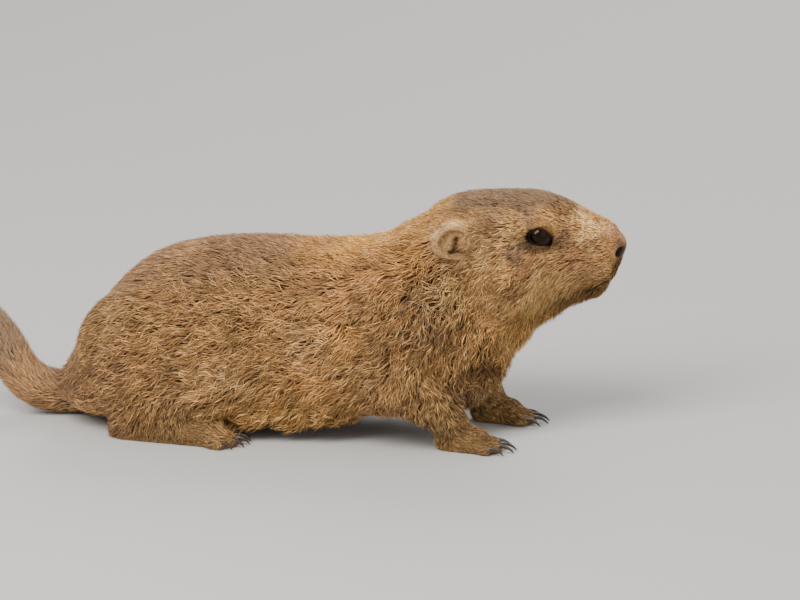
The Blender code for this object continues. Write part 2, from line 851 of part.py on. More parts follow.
def tail_locks():
    """Locks in staggered rows along the tail, each bending with the tail's own curve."""
    draw = random.Random(LOCK_SEED)
    length, width, thickness = TAIL_LOCK_SIZE
    rows = [(*row, row[3] * share) for row, share in zip(TAIL, TAIL_CORE)]
    frames = frames_along(rows, 12)
    walked = [0]
    for first, second in zip(frames, frames[1:]):
        walked.append(walked[-1] + (second[0] - first[0]).length)
    total = walked[-1]

    def frame_at(distance):
        distance = min(max(distance, 0), total)
        i = max(k for k in range(len(walked)) if walked[k] <= distance)
        return frames[i]

    locks = []
    first_row = (Vector(TAIL[1][:3]) - Vector(TAIL[0][:3])).length
    step = (total - first_row - 0.6 * length) / (TAIL_LOCK_ROWS - 1)
    for row in range(TAIL_LOCK_ROWS):
        for k in range(TAIL_LOCKS_IN_ROW):
            angle = 2 * math.pi * (k + 0.5 * (row % 2) + draw.uniform(-0.12, 0.12))
            angle /= TAIL_LOCKS_IN_ROW
            size = draw.uniform(0.9, 1.1) * (0.72 + 0.3 * row / (TAIL_LOCK_ROWS - 1))
            start = first_row + row * step + draw.uniform(-2, 2)
            rings = []
            for share, wide, thick, high in LOCK_RINGS:
                place = start + share * length * size
                point, along, across, upward, radius, core = frame_at(place)
                outward = across * math.cos(angle) + upward * math.sin(angle)
                sideways = along.cross(outward)
                reach = core + (radius - core) * max(high, 0)
                reach += LOCK_SINK * min(high, 0) - thickness / 2 * thick
                beyond = max(place - total, 0)
                middle = point + outward * reach + along * beyond
                rings.append(
                    (
                        middle * MM,
                        sideways * wide * width * size / 2 * MM,
                        outward * thick * thickness / 2 * MM,
                    )
                )
            locks.append(lock_from(rings))
    return locks


# ---- Claws ----


def claw_rows(tip, length):
    """A claw's curve, from inside the toe, over its end and down to just clear of the floor."""
    x, y, z = tip
    top = z + 1.6
    return (
        (x - 1.5, y, top - 0.4, CLAW_RADIUS),
        (x + 0.40 * length, y, top, CLAW_RADIUS * 0.86),
        (x + 0.78 * length, y, top - 1.8, CLAW_RADIUS * 0.58),
        (x + length, y, top - 4.2, CLAW_RADIUS * 0.22),
    )


def make_claws(foot, toes, spread, palm, side, step, length, foot_name):
    """One claw for each toe, seated in a socket of its own."""
    claws = []
    lines = toe_lines(toes, spread, palm[-1][1], side, step)
    for number, (_, tip) in enumerate(lines):
        rows = claw_rows(tip, length)
        socket = limb(rows, per_span=1, sides=6, grow=GAP / MM, rounded=False)
        boolean(foot, socket, "DIFFERENCE")
        claw = limb(rows, per_span=1, sides=6, rounded=False)
        claw.name = f"{foot_name}_claw_{number + 1}"
        claws.append(claw)
    largest_shell(foot)
    return claws


# ---- The tail ----


def make_tail():
    """The tail's root half and tip half, as two nodes: a core with locks out to the coat."""
    core = [(x, y, z, radius * share) for (x, y, z, radius), share in zip(TAIL, TAIL_CORE)]
    whole = limb(core, per_span=1, sides=10)
    join_all(whole, tail_locks())
    halves = []
    for name, keep_far in (("tail_root", False), ("tail_tip", True)):
        half = copy_of(whole)
        boolean(half, tail_region(-GAP / 2), "INTERSECT")
        operation = "INTERSECT" if keep_far else "DIFFERENCE"
        grow = -GAP / 2 if keep_far else GAP / 2
        boolean(half, beyond_plane(TAIL_MIDDLE_SEAM, grow), operation)
        boolean(half, below_floor(0), "DIFFERENCE")
        largest_shell(half)
        half.name = name
        halves.append(half)
    remove(whole)
    return halves


# ---- Finishing ----


def stand_on_origin(nodes):
    """Moves all the nodes so that the origin is on the floor under the middle of their box."""
    places = [vert.co for node in nodes for vert in node.data.vertices]
    low = Vector([min(place[axis] for place in places) for axis in range(3)])
    high = Vector([max(place[axis] for place in places) for axis in range(3)])
    shift = Vector((-(low.x + high.x) / 2, -(low.y + high.y) / 2, -low.z))
    for node in nodes:
        node.data.transform(Matrix.Translation(shift))


def material(name, color, roughness):
    made = bpy.data.materials.new(name)
    made.use_nodes = True
    shader = made.node_tree.nodes["Principled BSDF"]
    shader.inputs["Base Color"].default_value = (*color, 1)
    shader.inputs["Roughness"].default_value = roughness
    shader.inputs["Metallic"].default_value = 0
    made.diffuse_color = (*color, 1)
    return made


def finish(node, name, look):
    node.name = name
    node.data.name = name
    node.data.materials.clear()
    node.data.materials.append(look)
    node.data.shade_smooth()
    node.data.set_sharp_from_angle(angle=math.radians(50))


def main():
    for obj in list(bpy.data.objects):
        bpy.data.objects.remove(obj)
    looks = {
        "fur": material("brown_fur", FUR_BROWN, 0.85),
        "head": material("face_fur", FUR_HEAD, 0.8),
        "tail": material("dark_tail_fur", FUR_TAIL, 0.85),
        "foot": material("foot_fur", FUR_FOOT, 0.8),
        "ear": material("ear_skin", EAR_TAN, 0.75),
        "claw": material("dark_claw_horn", CLAW_DARK, 0.35),
        "eye": material("dark_wet_eye", EYE_DARK, 0.05),
    }
    body = make_body()
    surface = surface_of(body)
    locks = body_locks(body, surface)
    locks["torso"] = fringe_locks(surface)
    turn_head(body)
    nodes = {}

    legs = {}
    for side in (RIGHT, LEFT):
        word = SIDE_NAMES[side]
        foreleg = limb_region(FORELEG_LIMIT, side, FORE_STEP)
        forefoot = limb_region(FOREFOOT_LIMIT, side, FORE_STEP)
        hindleg = limb_region(HINDLEG_LIMIT, side, HIND_STEP)
        hindfoot = limb_region(HINDFOOT_LIMIT, side, HIND_STEP)
        legs[side] = [foreleg, forefoot, hindleg, hindfoot]
        made = {
            "foreleg": parted(body, BODY_DETAIL, [foreleg], [neck_region, forefoot]),
            "forefoot": parted(body, FOOT_DETAIL, [forefoot]),
            "hindleg": parted(body, BODY_DETAIL, [hindleg], [hindfoot]),
            "hindfoot": parted(body, FOOT_DETAIL, [hindfoot]),
        }
        for name, node in made.items():
            look = looks["foot"] if name.endswith("foot") else looks["fur"]
            nodes[f"{name}_{word}"] = (node, look)
        feet = (
            ("forefoot", FORE_TOES, FORE_TOE_SPREAD, FORE_PALM, FORE_STEP, FORE_CLAW_LENGTH),
            ("hindfoot", HIND_TOES, HIND_TOE_SPREAD, HIND_SOLE, HIND_STEP, HIND_CLAW_LENGTH),
        )
        for foot, toes, spread, palm, steps, length in feet:
            name = f"{foot}_{word}"
            for claw in make_claws(
                made[foot], toes, spread, palm, side, steps[side], length, name
            ):
                nodes[claw.name] = (claw, looks["claw"])

    limbs = [region for side in legs for region in legs[side]]
    torso = parted(body, BODY_DETAIL, (), [neck_region, *limbs, tail_region], locks["torso"])
    neck = parted(body, BODY_DETAIL, [neck_region], [head_region], locks["neck"])
    head = parted(body, HEAD_DETAIL, [head_region], (), locks["head"])
    nodes["torso"] = (torso, looks["fur"])
    nodes["neck"] = (neck, looks["fur"])
    nodes["head"] = (head, looks["head"])

    for side in (RIGHT, LEFT):
        word = SIDE_NAMES[side]
        nodes[f"eye_{word}"] = (carve_eye(head, surface, side), looks["eye"])
        nodes[f"ear_{word}"] = (make_ear(body, side), looks["ear"])
        carve_ear_hollow(head, side)
    carve_mouth(head, surface)
    largest_shell(head)

    for half in make_tail():
        nodes[half.name] = (half, looks["tail"])

    remove(body)
    for name, (node, look) in nodes.items():
        finish(node, name, look)
    stand_on_origin([node for node, _ in nodes.values()])


main()
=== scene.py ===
# %% [markdown]
# # A young alpine marmot, crouched with its head up
# The solids of the animal come as a fixed frame: head, neck, trunk, legs, feet, ears, tail,
# eyes and claws, each at its real size and place. This file gives them their looks. One skin
# takes the place of all the fleshy solids, with the bare leather of the nose on it, a coat of
# many thin tufts grows from it, and the wet eyes, the lids, the whiskers and the claws are
# pieces of their own.

import json
import math

import bpy
import numpy as np
from mathutils import Matrix, Quaternion, Vector
from mathutils.bvhtree import BVHTree
from mathutils.kdtree import KDTree

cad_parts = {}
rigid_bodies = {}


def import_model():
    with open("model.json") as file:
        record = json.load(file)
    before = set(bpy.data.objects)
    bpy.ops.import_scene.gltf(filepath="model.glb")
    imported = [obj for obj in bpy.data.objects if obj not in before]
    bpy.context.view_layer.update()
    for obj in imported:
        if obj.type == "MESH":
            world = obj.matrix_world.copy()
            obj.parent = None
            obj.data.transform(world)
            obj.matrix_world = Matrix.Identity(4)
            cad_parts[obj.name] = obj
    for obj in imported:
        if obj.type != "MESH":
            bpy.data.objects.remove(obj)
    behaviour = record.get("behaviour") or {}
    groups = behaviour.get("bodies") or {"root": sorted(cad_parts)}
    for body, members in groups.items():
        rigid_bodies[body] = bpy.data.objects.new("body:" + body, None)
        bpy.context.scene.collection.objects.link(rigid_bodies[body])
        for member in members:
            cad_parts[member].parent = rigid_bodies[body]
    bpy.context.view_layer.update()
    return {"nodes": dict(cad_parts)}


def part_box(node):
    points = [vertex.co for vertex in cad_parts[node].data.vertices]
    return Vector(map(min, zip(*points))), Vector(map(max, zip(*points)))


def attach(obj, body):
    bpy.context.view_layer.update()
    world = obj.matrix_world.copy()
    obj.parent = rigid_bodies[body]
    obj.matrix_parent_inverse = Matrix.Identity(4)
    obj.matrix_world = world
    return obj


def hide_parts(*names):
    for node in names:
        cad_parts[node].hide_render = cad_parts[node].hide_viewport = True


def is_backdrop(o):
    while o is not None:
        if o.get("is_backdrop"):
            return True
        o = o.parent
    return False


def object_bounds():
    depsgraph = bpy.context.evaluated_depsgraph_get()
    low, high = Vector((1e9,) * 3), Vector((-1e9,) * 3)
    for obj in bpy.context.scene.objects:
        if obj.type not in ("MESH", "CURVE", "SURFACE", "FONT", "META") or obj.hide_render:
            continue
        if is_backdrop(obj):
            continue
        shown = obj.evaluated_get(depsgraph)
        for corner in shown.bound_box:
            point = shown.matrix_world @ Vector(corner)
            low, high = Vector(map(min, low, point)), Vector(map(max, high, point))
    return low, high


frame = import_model()
MM = 0.001
SIDES = {"right": -1, "left": 1}

# %% [markdown]
# ## Where things are on the animal
# The head is turned a little to its left, so a place on the right cheek isn't the mirror image
# of the same place on the left. Markings and hair directions are much easier to write for an
# animal that looks straight ahead, so one function takes any point of the model back to such
# an animal, in millimetres: x runs from the rump (-170) to the nose (191), z is the height, and
# y is the distance to the left. The turn is read off the line between the two eyes.

# %% Measure the head's turn
def middle(node):
    low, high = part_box(node)
    return (low + high) / 2


eye_middle = {side: middle(f"eye_{side}") for side in SIDES}
between_eyes = (eye_middle["left"] + eye_middle["right"]) / 2
across_eyes = eye_middle["left"] - eye_middle["right"]
HEAD_TURN = math.atan2(-across_eyes.x, across_eyes.y)
NECK_ROOT = 60  # where the neck starts to turn, on the straight animal
EYES_AHEAD = 76.6  # from there to the eyes
neck_x = between_eyes.x / MM - EYES_AHEAD * math.cos(HEAD_TURN)
neck_y = between_eyes.y / MM - EYES_AHEAD * math.sin(HEAD_TURN)
print("head turned by", round(math.degrees(HEAD_TURN), 1), "degrees")

# %% [markdown]
# The neck takes up the turn bit by bit, from its root to the back of the head. Bones with
# weights could hold the same relation, but a few short functions give it for any number of
# points at once, in both directions.

# %% Straighten the head
TURNS_AHEAD = (56, 100)  # the neck turns between these places ahead
TURNS_UP = (45, 92)  # and between these heights


def smooth_step(value, low, high):
    """0 up to low, 1 from high on, and a soft slope in between."""
    share = np.clip((value - low) / (high - low), 0, 1)
    return share * share * (3 - 2 * share)


def turned_share(x, z):
    """How much of the head's turn a place has: none on the trunk, all of it on the head."""
    return smooth_step(x, *TURNS_AHEAD) * smooth_step(z, *TURNS_UP)


def turned(rows, angle):
    """Places or ways, one to a row, turned about the upright axis by one angle or by one each."""
    cos, sin = np.cos(angle), np.sin(angle)
    x, y, z = rows.T
    return np.stack([x * cos - y * sin, x * sin + y * cos, z], axis=1)


def straightened(points):
    """Model points in metres, as places on an animal that looks straight ahead, in mm."""
    from_neck = points / MM - (neck_x, neck_y, 0)
    angle = -HEAD_TURN * turned_share(from_neck[:, 0] + NECK_ROOT, from_neck[:, 2])
    return turned(from_neck, angle) + (NECK_ROOT, 0, 0)


def on_head(x, y, z):
    """A place on the straight head, in mm, as a point of the model, in metres."""
    from_neck = turned(np.array([[x - NECK_ROOT, y, z]]), HEAD_TURN)[0]
    return Vector(from_neck + (neck_x, neck_y, 0)) * MM


def head_way(x, y, z):
    """A direction on the straight head, turned as the head is."""
    return (Matrix.Rotation(HEAD_TURN, 3, "Z") @ Vector((x, y, z))).normalized()


def to_one_side(places):
    """The same places, all on the left."""
    return np.stack([places[:, 0], np.abs(places[:, 1]), places[:, 2]], axis=1)


EYE_SOLID = straightened(np.array([eye_middle["left"]]))[0]
print("an eye's solid is at", EYE_SOLID.round(1), "on the straight head")

# %% [markdown]
# The eyes look out to the side and a little up. Each has a frame of its own, ahead, up and out,
# in which the ball, the lids and the hair round them are set. The balls sit a little deeper in
# their sockets than the solids' do, back and down.

# %% Frames of the eyes
EYE_AXIS = (0.02, 1.0, 0.12)
EYE_SHIFT = Vector((-1.1, 0.0, -0.9))
LID_REACH = (7.4, 6.6, 4.7, 4.3)  # of the opening: towards the nose, back, up and down
LID_DROP = 3.0  # how much lower its front corner is
LID_SHIFT = (-0.2, -0.5)  # the opening sits a little below the ball's middle
low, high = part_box("eye_right")
EYE_RADIUS = (high.z - low.z) / 2


def almond_share(ahead, rise):
    """0 at the middle of the opening between the lids, 1 at its edge, from mm ahead and up."""
    ahead_share = (ahead - LID_SHIFT[0]) / np.where(ahead > LID_SHIFT[0], LID_REACH[0], LID_REACH[1])
    rise = rise - LID_SHIFT[1] + LID_DROP * np.clip(ahead_share, 0, 1) ** 2
    return np.hypot(ahead_share, rise / np.where(rise > 0, LID_REACH[2], LID_REACH[3]))


class EyeFrame:
    """Where an eye is and which ways are out, up and ahead for it."""

    def __init__(self, side):
        sign = SIDES[side]
        turn = Matrix.Rotation(HEAD_TURN, 3, "Z")
        self.middle = eye_middle[side] + turn @ EYE_SHIFT * MM
        self.out = head_way(EYE_AXIS[0], sign * EYE_AXIS[1], EYE_AXIS[2])
        self.up = (Vector((0, 0, 1)) - self.out * self.out.z).normalized()
        self.ahead = self.up.cross(self.out)
        if self.ahead.dot(head_way(1, 0, 0)) < 0:
            self.ahead = -self.ahead

    def inside(self, points):
        """How far points are from the opening's middle, with 1 at its edge, and from the ball's."""
        from_ball = points - np.array(self.middle)
        share = almond_share(from_ball @ np.array(self.ahead) / MM, from_ball @ np.array(self.up) / MM)
        return share, np.linalg.norm(from_ball, axis=1) / MM


EYES = {side: EyeFrame(side) for side in SIDES}
EYE_PLACE = straightened(np.array([EYES["left"].middle]))[0]
print("an eye is at", EYE_PLACE.round(1), "on the straight head")

# %% [markdown]
# ## The camera
# A long lens from three metres keeps the animal's proportions flat and calm. The camera is
# placed from one point that has to land on one place of the picture: the front of the right
# eye. A camera's own axes are its right, its up and its back, and these three are the columns
# of its rotation.

# %% Set the camera
PICTURE = (800, 600)
CAMERA_AZIMUTH = math.radians(12)
CAMERA_ELEVATION = math.radians(15)
CAMERA_DISTANCE = 3.0
METRES_PER_PIXEL = 0.62 * MM
EYE_PIXEL = (539, 236)
SENSOR_WIDTH = 36

back = Vector(
    (
        math.sin(CAMERA_AZIMUTH) * math.cos(CAMERA_ELEVATION),
        -math.cos(CAMERA_AZIMUTH) * math.cos(CAMERA_ELEVATION),
        math.sin(CAMERA_ELEVATION),
    )
)
right = Vector((math.cos(CAMERA_AZIMUTH), math.sin(CAMERA_AZIMUTH), 0))
up = back.cross(right)
EYE_FRONT = Vector((0, -0.0069, 0.0002))  # from the ball's middle, in metres
aim = eye_middle["right"] + EYE_FRONT
pixels_right = EYE_PIXEL[0] - PICTURE[0] / 2
pixels_up = PICTURE[1] / 2 - EYE_PIXEL[1]
place = aim + back * CAMERA_DISTANCE
place -= (right * pixels_right + up * pixels_up) * METRES_PER_PIXEL

bpy.ops.object.camera_add(location=place)
camera = bpy.context.object
camera.name = "camera"
camera.rotation_euler = Matrix((right, up, back)).transposed().to_euler()
camera.data.sensor_width = SENSOR_WIDTH
camera.data.lens = CAMERA_DISTANCE / METRES_PER_PIXEL * SENSOR_WIDTH / PICTURE[0]
camera.data.clip_end = 30
bpy.context.scene.camera = camera
print("lens", round(camera.data.lens), "mm")

# %% [markdown]
# ## Colours and materials
# A colour picker shows sRGB values, and a shader works in linear light, so one function turns
# the one into the other. Materials could be built by hand in the shader editor. Here a second
# function adds a node with its settings, its values and its links, which keeps each number in
# sight.

# %% Make a colour, a node and a material
def colour(hex_code):
    """An sRGB hex value as the linear numbers that a shader works in."""
    parts = [int(hex_code[i : i + 2], 16) / 255 for i in (1, 3, 5)]
    return tuple(v / 12.92 if v <= 0.04045 else ((v + 0.055) / 1.055) ** 2.4 for v in parts)


def add_node(tree, kind, settings=None, links=None, **sockets):
    """One shader node with its settings, its inputs' values, and links from other nodes."""
    node = tree.nodes.new(kind)
    for name, value in (settings or {}).items():
        setattr(node, name, value)
    for name, value in sockets.items():
        node.inputs[name.replace("_", " ")].default_value = value
    for name, source in (links or {}).items():
        tree.links.new(source, node.inputs[name])
    return node


def new_material(name, **sockets):
    """A material, its tree and its Principled shader, with the shader's inputs set."""
    made = bpy.data.materials.new(name)
    made.use_nodes = True
    shader = made.node_tree.nodes["Principled BSDF"]
    for socket, value in sockets.items():
        shader.inputs[socket.replace("_", " ")].default_value = value
    return made, made.node_tree, shader


print("a middle grey is", round(colour("#808080")[0], 3), "in linear light")

# %% [markdown]
# ## Floor and light
# The studio is a pale floor that runs out to the horizon, a large soft box overhead and a
# little in front, a weaker one on the other side, and an even pale sky. Fur needs one light that
# is clearly stronger than the rest, or its tufts have no shadows and it looks like felt.

# %% Build the studio
FLOOR_SIZE = 40
bpy.ops.object.select_all(action="DESELECT")
bpy.ops.mesh.primitive_plane_add(size=FLOOR_SIZE, location=(0, 0, 0))
floor = bpy.context.object
floor.name = "studio_floor"
# Backdrop paper is matt and even, so the soft shadow is all that the eye sees on it.
paper = new_material("matt_backdrop_paper", Base_Color=(*colour("#BDBAB4"), 1), Roughness=0.9)[0]
floor.data.materials.append(paper)
floor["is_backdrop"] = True

LIT_PLACE = Vector((0, 0, 0.08))  # all lights look at the animal's middle
# place, width and height in metres, tilt in degrees and power in watts
LIGHTS = {
    "key_softbox": ((-0.5, -1.35, 1.55), 0.9, 1.7, -35, 62),
    "fill_softbox": ((1.9, -1.2, 0.9), 2.4, 2.4, 0, 13),
    "rim_softbox": ((0.3, 1.8, 1.5), 1.2, 1.2, 0, 22),
}
for name, (location, wide, high, tilt, power) in LIGHTS.items():
    bpy.ops.object.light_add(type="AREA", location=location)
    light = bpy.context.object
    light.name = name
    light.data.shape = "RECTANGLE"
    light.data.size = wide
    light.data.size_y = high
    light.data.energy = power
    aimed = (light.location - LIT_PLACE).to_track_quat("Z", "Y")
    light.rotation_euler = (aimed @ Quaternion((0, 0, 1), math.radians(tilt))).to_euler()
sky = bpy.data.worlds.new("pale_studio_sky")
sky.use_nodes = True
sky.node_tree.nodes["Background"].inputs["Color"].default_value = (*colour("#E8EAEE"), 1)
sky.node_tree.nodes["Background"].inputs["Strength"].default_value = 0.9
bpy.context.scene.world = sky
print("lights:", ", ".join(LIGHTS))

# %% [markdown]
# ## The outside of the coat
# The fleshy solids end where the coat ends, so together they are the outside of the fur. To
# turn them into one body without seams, copies of them are merged, swelled by a hair's breadth
# so that they overlap, and melted by a voxel remesh. Joining them with Booleans would keep every
# seam as an edge. The melted form is then smoothed, a lot where the solids carry locks, and
# hardly at all on the face, the ears and the toes.

# %% Select, modify and copy
def only(*objects):
    """Selects these objects alone, and makes the first one active."""
    if bpy.context.mode != "OBJECT":
        bpy.ops.object.mode_set(mode="OBJECT")
    bpy.ops.object.select_all(action="DESELECT")
    for obj in objects:
        obj.select_set(True)
    bpy.context.view_layer.objects.active = objects[0]


def modify(obj, kind, **settings):
    """Adds one modifier and applies it."""
    only(obj)
    modifier = obj.modifiers.new(kind.lower(), kind)
    for name, value in settings.items():
        setattr(modifier, name, value)
    bpy.ops.object.modifier_apply(modifier=modifier.name)


def edit(obj, operator, chosen=None, **settings):
    """Runs one edit-mode operator on the whole of a mesh, or on the chosen faces."""
    only(obj)
    bpy.ops.object.mode_set(mode="EDIT")
    bpy.ops.mesh.select_mode(type="FACE")
    bpy.ops.mesh.select_all(action="SELECT" if chosen is None else "DESELECT")
    if chosen is not None:
        bpy.ops.object.mode_set(mode="OBJECT")
        obj.data.polygons.foreach_set("select", chosen)
        bpy.ops.object.mode_set(mode="EDIT")
    operator(**settings)
    bpy.ops.object.mode_set(mode="OBJECT")


def in_scene(name, data):
    """A new object of the scene, at the origin."""
    obj = bpy.data.objects.new(name, data)
    bpy.context.scene.collection.objects.link(obj)
    return obj


def merged_copy(node, name):
    """A new object with a node's mesh, its loose triangles joined along their edges."""
    obj = in_scene(name, frame["nodes"][node].data.copy())
    edit(obj, bpy.ops.mesh.remove_doubles, threshold=1e-6)
    return obj


print("solids to copy:", len(frame["nodes"]))

# %% [markdown]
# The locks of the trunk and the neck are flat blades. Left in, they would print through the
# smooth outside as ridges. Moving the surface in by half a lock's thickness closes each blade on
# itself, the remesh drops it, and moving the surface out again gives the trunk back its size.

# %% Melt the solids into one form
VOXEL = 1.4 * MM
SWELL = 0.3 * MM
HALF_LOCK = 2.4 * MM
FLESH = sorted(n for n in frame["nodes"] if "claw" not in n and not n.startswith("eye"))
LOCKED = ("torso", "neck")
TAIL = ("tail_root", "tail_tip")


def without_locks(obj):
    """Shrinks a form until its thin locks vanish, melts it, and swells it back."""
    modify(obj, "DISPLACE", mid_level=0, strength=-HALF_LOCK)
    modify(obj, "REMESH", mode="VOXEL", voxel_size=VOXEL)
    modify(obj, "DISPLACE", mid_level=0, strength=HALF_LOCK + SWELL)


copies = []
for node in FLESH:
    if node in TAIL:
        continue
    copy = merged_copy(node, f"flesh_{node}")
    if node in LOCKED:
        without_locks(copy)
    else:
        modify(copy, "DISPLACE", mid_level=0, strength=SWELL)
    copies.append(copy)
print("copies of flesh:", len(copies))

# %% [markdown]
# The tail's solids are a core with locks set round it, like scales. Its outside is simpler: a
# tube that lies on the ground, curls up and closes to a soft point. It is a curve with a
# radius at each point, turned into a mesh, and it starts inside the rump.

# %% Shape the outside of the tail
# ahead, aside, up and radius, in mm
TAIL_ROWS = (
    (-146, 0, 22, 13),
    (-166, -3, 14.0, 13.5),
    (-178, -7, 14.2, 13.5),
    (-191, -11, 19.5, 13.5),
    (-201, -13, 32, 13),
    (-208, -14, 46, 13),
    (-217, -14, 58, 12.5),
    (-228, -13, 69, 10.5),
    (-236, -12, 76, 7.5),
    (-242, -12, 80.5, 3),
)
path = bpy.data.curves.new("tail_path", "CURVE")
path.dimensions = "3D"
path.bevel_depth = MM
path.bevel_resolution = 6
path.use_fill_caps = True
spline = path.splines.new("NURBS")
spline.points.add(len(TAIL_ROWS) - 1)
spline.use_endpoint_u = True
spline.order_u = 3
for point, (x, y, z, radius) in zip(spline.points, TAIL_ROWS):
    point.co = (neck_x * MM + (x - NECK_ROOT) * MM, (neck_y + y) * MM, z * MM, 1)
    point.radius = radius
only(in_scene("tail_form", path))
bpy.ops.object.convert(target="MESH")
copies.append(bpy.context.object)

only(*copies)
bpy.ops.object.join()
skin = bpy.context.object
skin.name = "skin"
modify(skin, "REMESH", mode="VOXEL", voxel_size=VOXEL)
print("melted faces:", len(skin.data.polygons))

# %% [markdown]
# The remesh leaves a few scraps inside the form, where solids met. Separating by loose parts and
# keeping the largest drops them.

# %% Keep the largest shell
def read(elements, field):
    """A field of three numbers of every element of a mesh, one element to a row."""
    values = np.empty(len(elements) * 3, np.float32)
    elements.foreach_get(field, values)
    return values.reshape(-1, 3).astype(float)


def points_of(mesh):
    return read(mesh.vertices, "co")


def normals_of(mesh):
    return read(mesh.vertex_normals, "vector")


def set_points(mesh, points):
    mesh.vertices.foreach_set("co", points.astype(np.float32).ravel())
    mesh.update()


edit(skin, bpy.ops.mesh.separate, type="LOOSE")
shells = sorted(bpy.context.selected_objects, key=lambda obj: -len(obj.data.vertices))
skin = shells[0]
skin.name = "skin"
for scrap in shells[1:]:
    bpy.data.objects.remove(scrap)
print("scraps dropped:", len(shells) - 1)

# %% [markdown]
# Then the form is smoothed and thinned out, by a group of its points that says where it is
# rough. There it loses its last ridges and many points, while the face, the ears and the feet
# keep theirs. Smoothing it all alike would melt the toes and the lips.

# %% Smooth the trunk and spare the face
HEAD_SEAM = ((94, 108), (0.894, 0.447))  # a point and a direction, ahead and up
EAR_SOLID = (90, 33.5, 131)
NOSE_CORNER = (190, 131)
FEET_TOP, FEET_BACK, FEET_ASIDE = 20, -128, 18
ROUGH_LEVELS = 4
KEPT_POINTS = 0.575  # the share of its points that the rough part keeps


def fade(value, low, high):
    """1 up to low and 0 from high on."""
    return 1 - smooth_step(value, low, high)


def gap_to(places, spot):
    """How far places are from a spot of the head or from its mirror image, in mm."""
    return np.linalg.norm(to_one_side(places) - spot, axis=1)


def past_seam(places):
    """How far places are ahead of the seam of head and neck, in mm."""
    ahead = (places[:, 0] - HEAD_SEAM[0][0]) * HEAD_SEAM[1][0]
    return ahead + (places[:, 2] - HEAD_SEAM[0][1]) * HEAD_SEAM[1][1]


places = straightened(points_of(skin.data))
fine = smooth_step(past_seam(places), 8, 40) * smooth_step(places[:, 2], 84, 104)
fine = np.maximum(fine, fade(gap_to(places, EAR_SOLID), 14, 19))
on_feet = (places[:, 2] < FEET_TOP) & (places[:, 0] > FEET_BACK) & (np.abs(places[:, 1]) > FEET_ASIDE)
fine = np.maximum(fine, on_feet)
corner = np.hypot(places[:, 0] - NOSE_CORNER[0], places[:, 2] - NOSE_CORNER[1])
fine = np.minimum(fine, 0.25 + smooth_step(corner, 3, 10))
group = skin.vertex_groups.new(name="rough")
for level in range(ROUGH_LEVELS + 1):
    chosen = np.nonzero(np.round(fine * ROUGH_LEVELS) == level)[0]
    group.add(chosen.tolist(), 1 - 0.22 * level, "REPLACE")
modify(skin, "SMOOTH", factor=0.5, iterations=16, vertex_group="rough")
modify(skin, "TRIANGULATE")
modify(skin, "DECIMATE", ratio=KEPT_POINTS, vertex_group="rough", vertex_group_factor=1)
print("points:", len(skin.data.vertices))

# %% [markdown]
# ## How deep and how long the coat is
# The skin lies inside that outside by the coat's depth: a millimetre on the nose and toes,
# six on the flank. Each row of the table below is a place on the straight animal with
# what the coat is like there, and a point in between gets a blend of the rows, weighted by how
# near they are. A painted weight map would do the same by hand, but rows of real sizes can be
# read and changed.

# %% Blend values between named places
SHARPNESS = 3.5  # how soon the nearest row wins


def blended(places, rows):
    """For each place, the mean of the rows' values, weighted by how near each row's place is."""
    total = np.zeros(len(places))
    mixed = np.zeros((len(places), len(rows[0][2])))
    for centre, reach, values in rows:
        away = ((places[:, 0] - centre[0]) / reach) ** 2
        away += ((np.abs(places[:, 1]) - centre[1]) / reach) ** 2
        away += ((places[:, 2] - centre[2]) / reach) ** 2
        weight = (away + 0.04) ** -SHARPNESS
        total += weight
        mixed += weight[:, None] * np.asarray(values)
    return mixed / total[:, None]


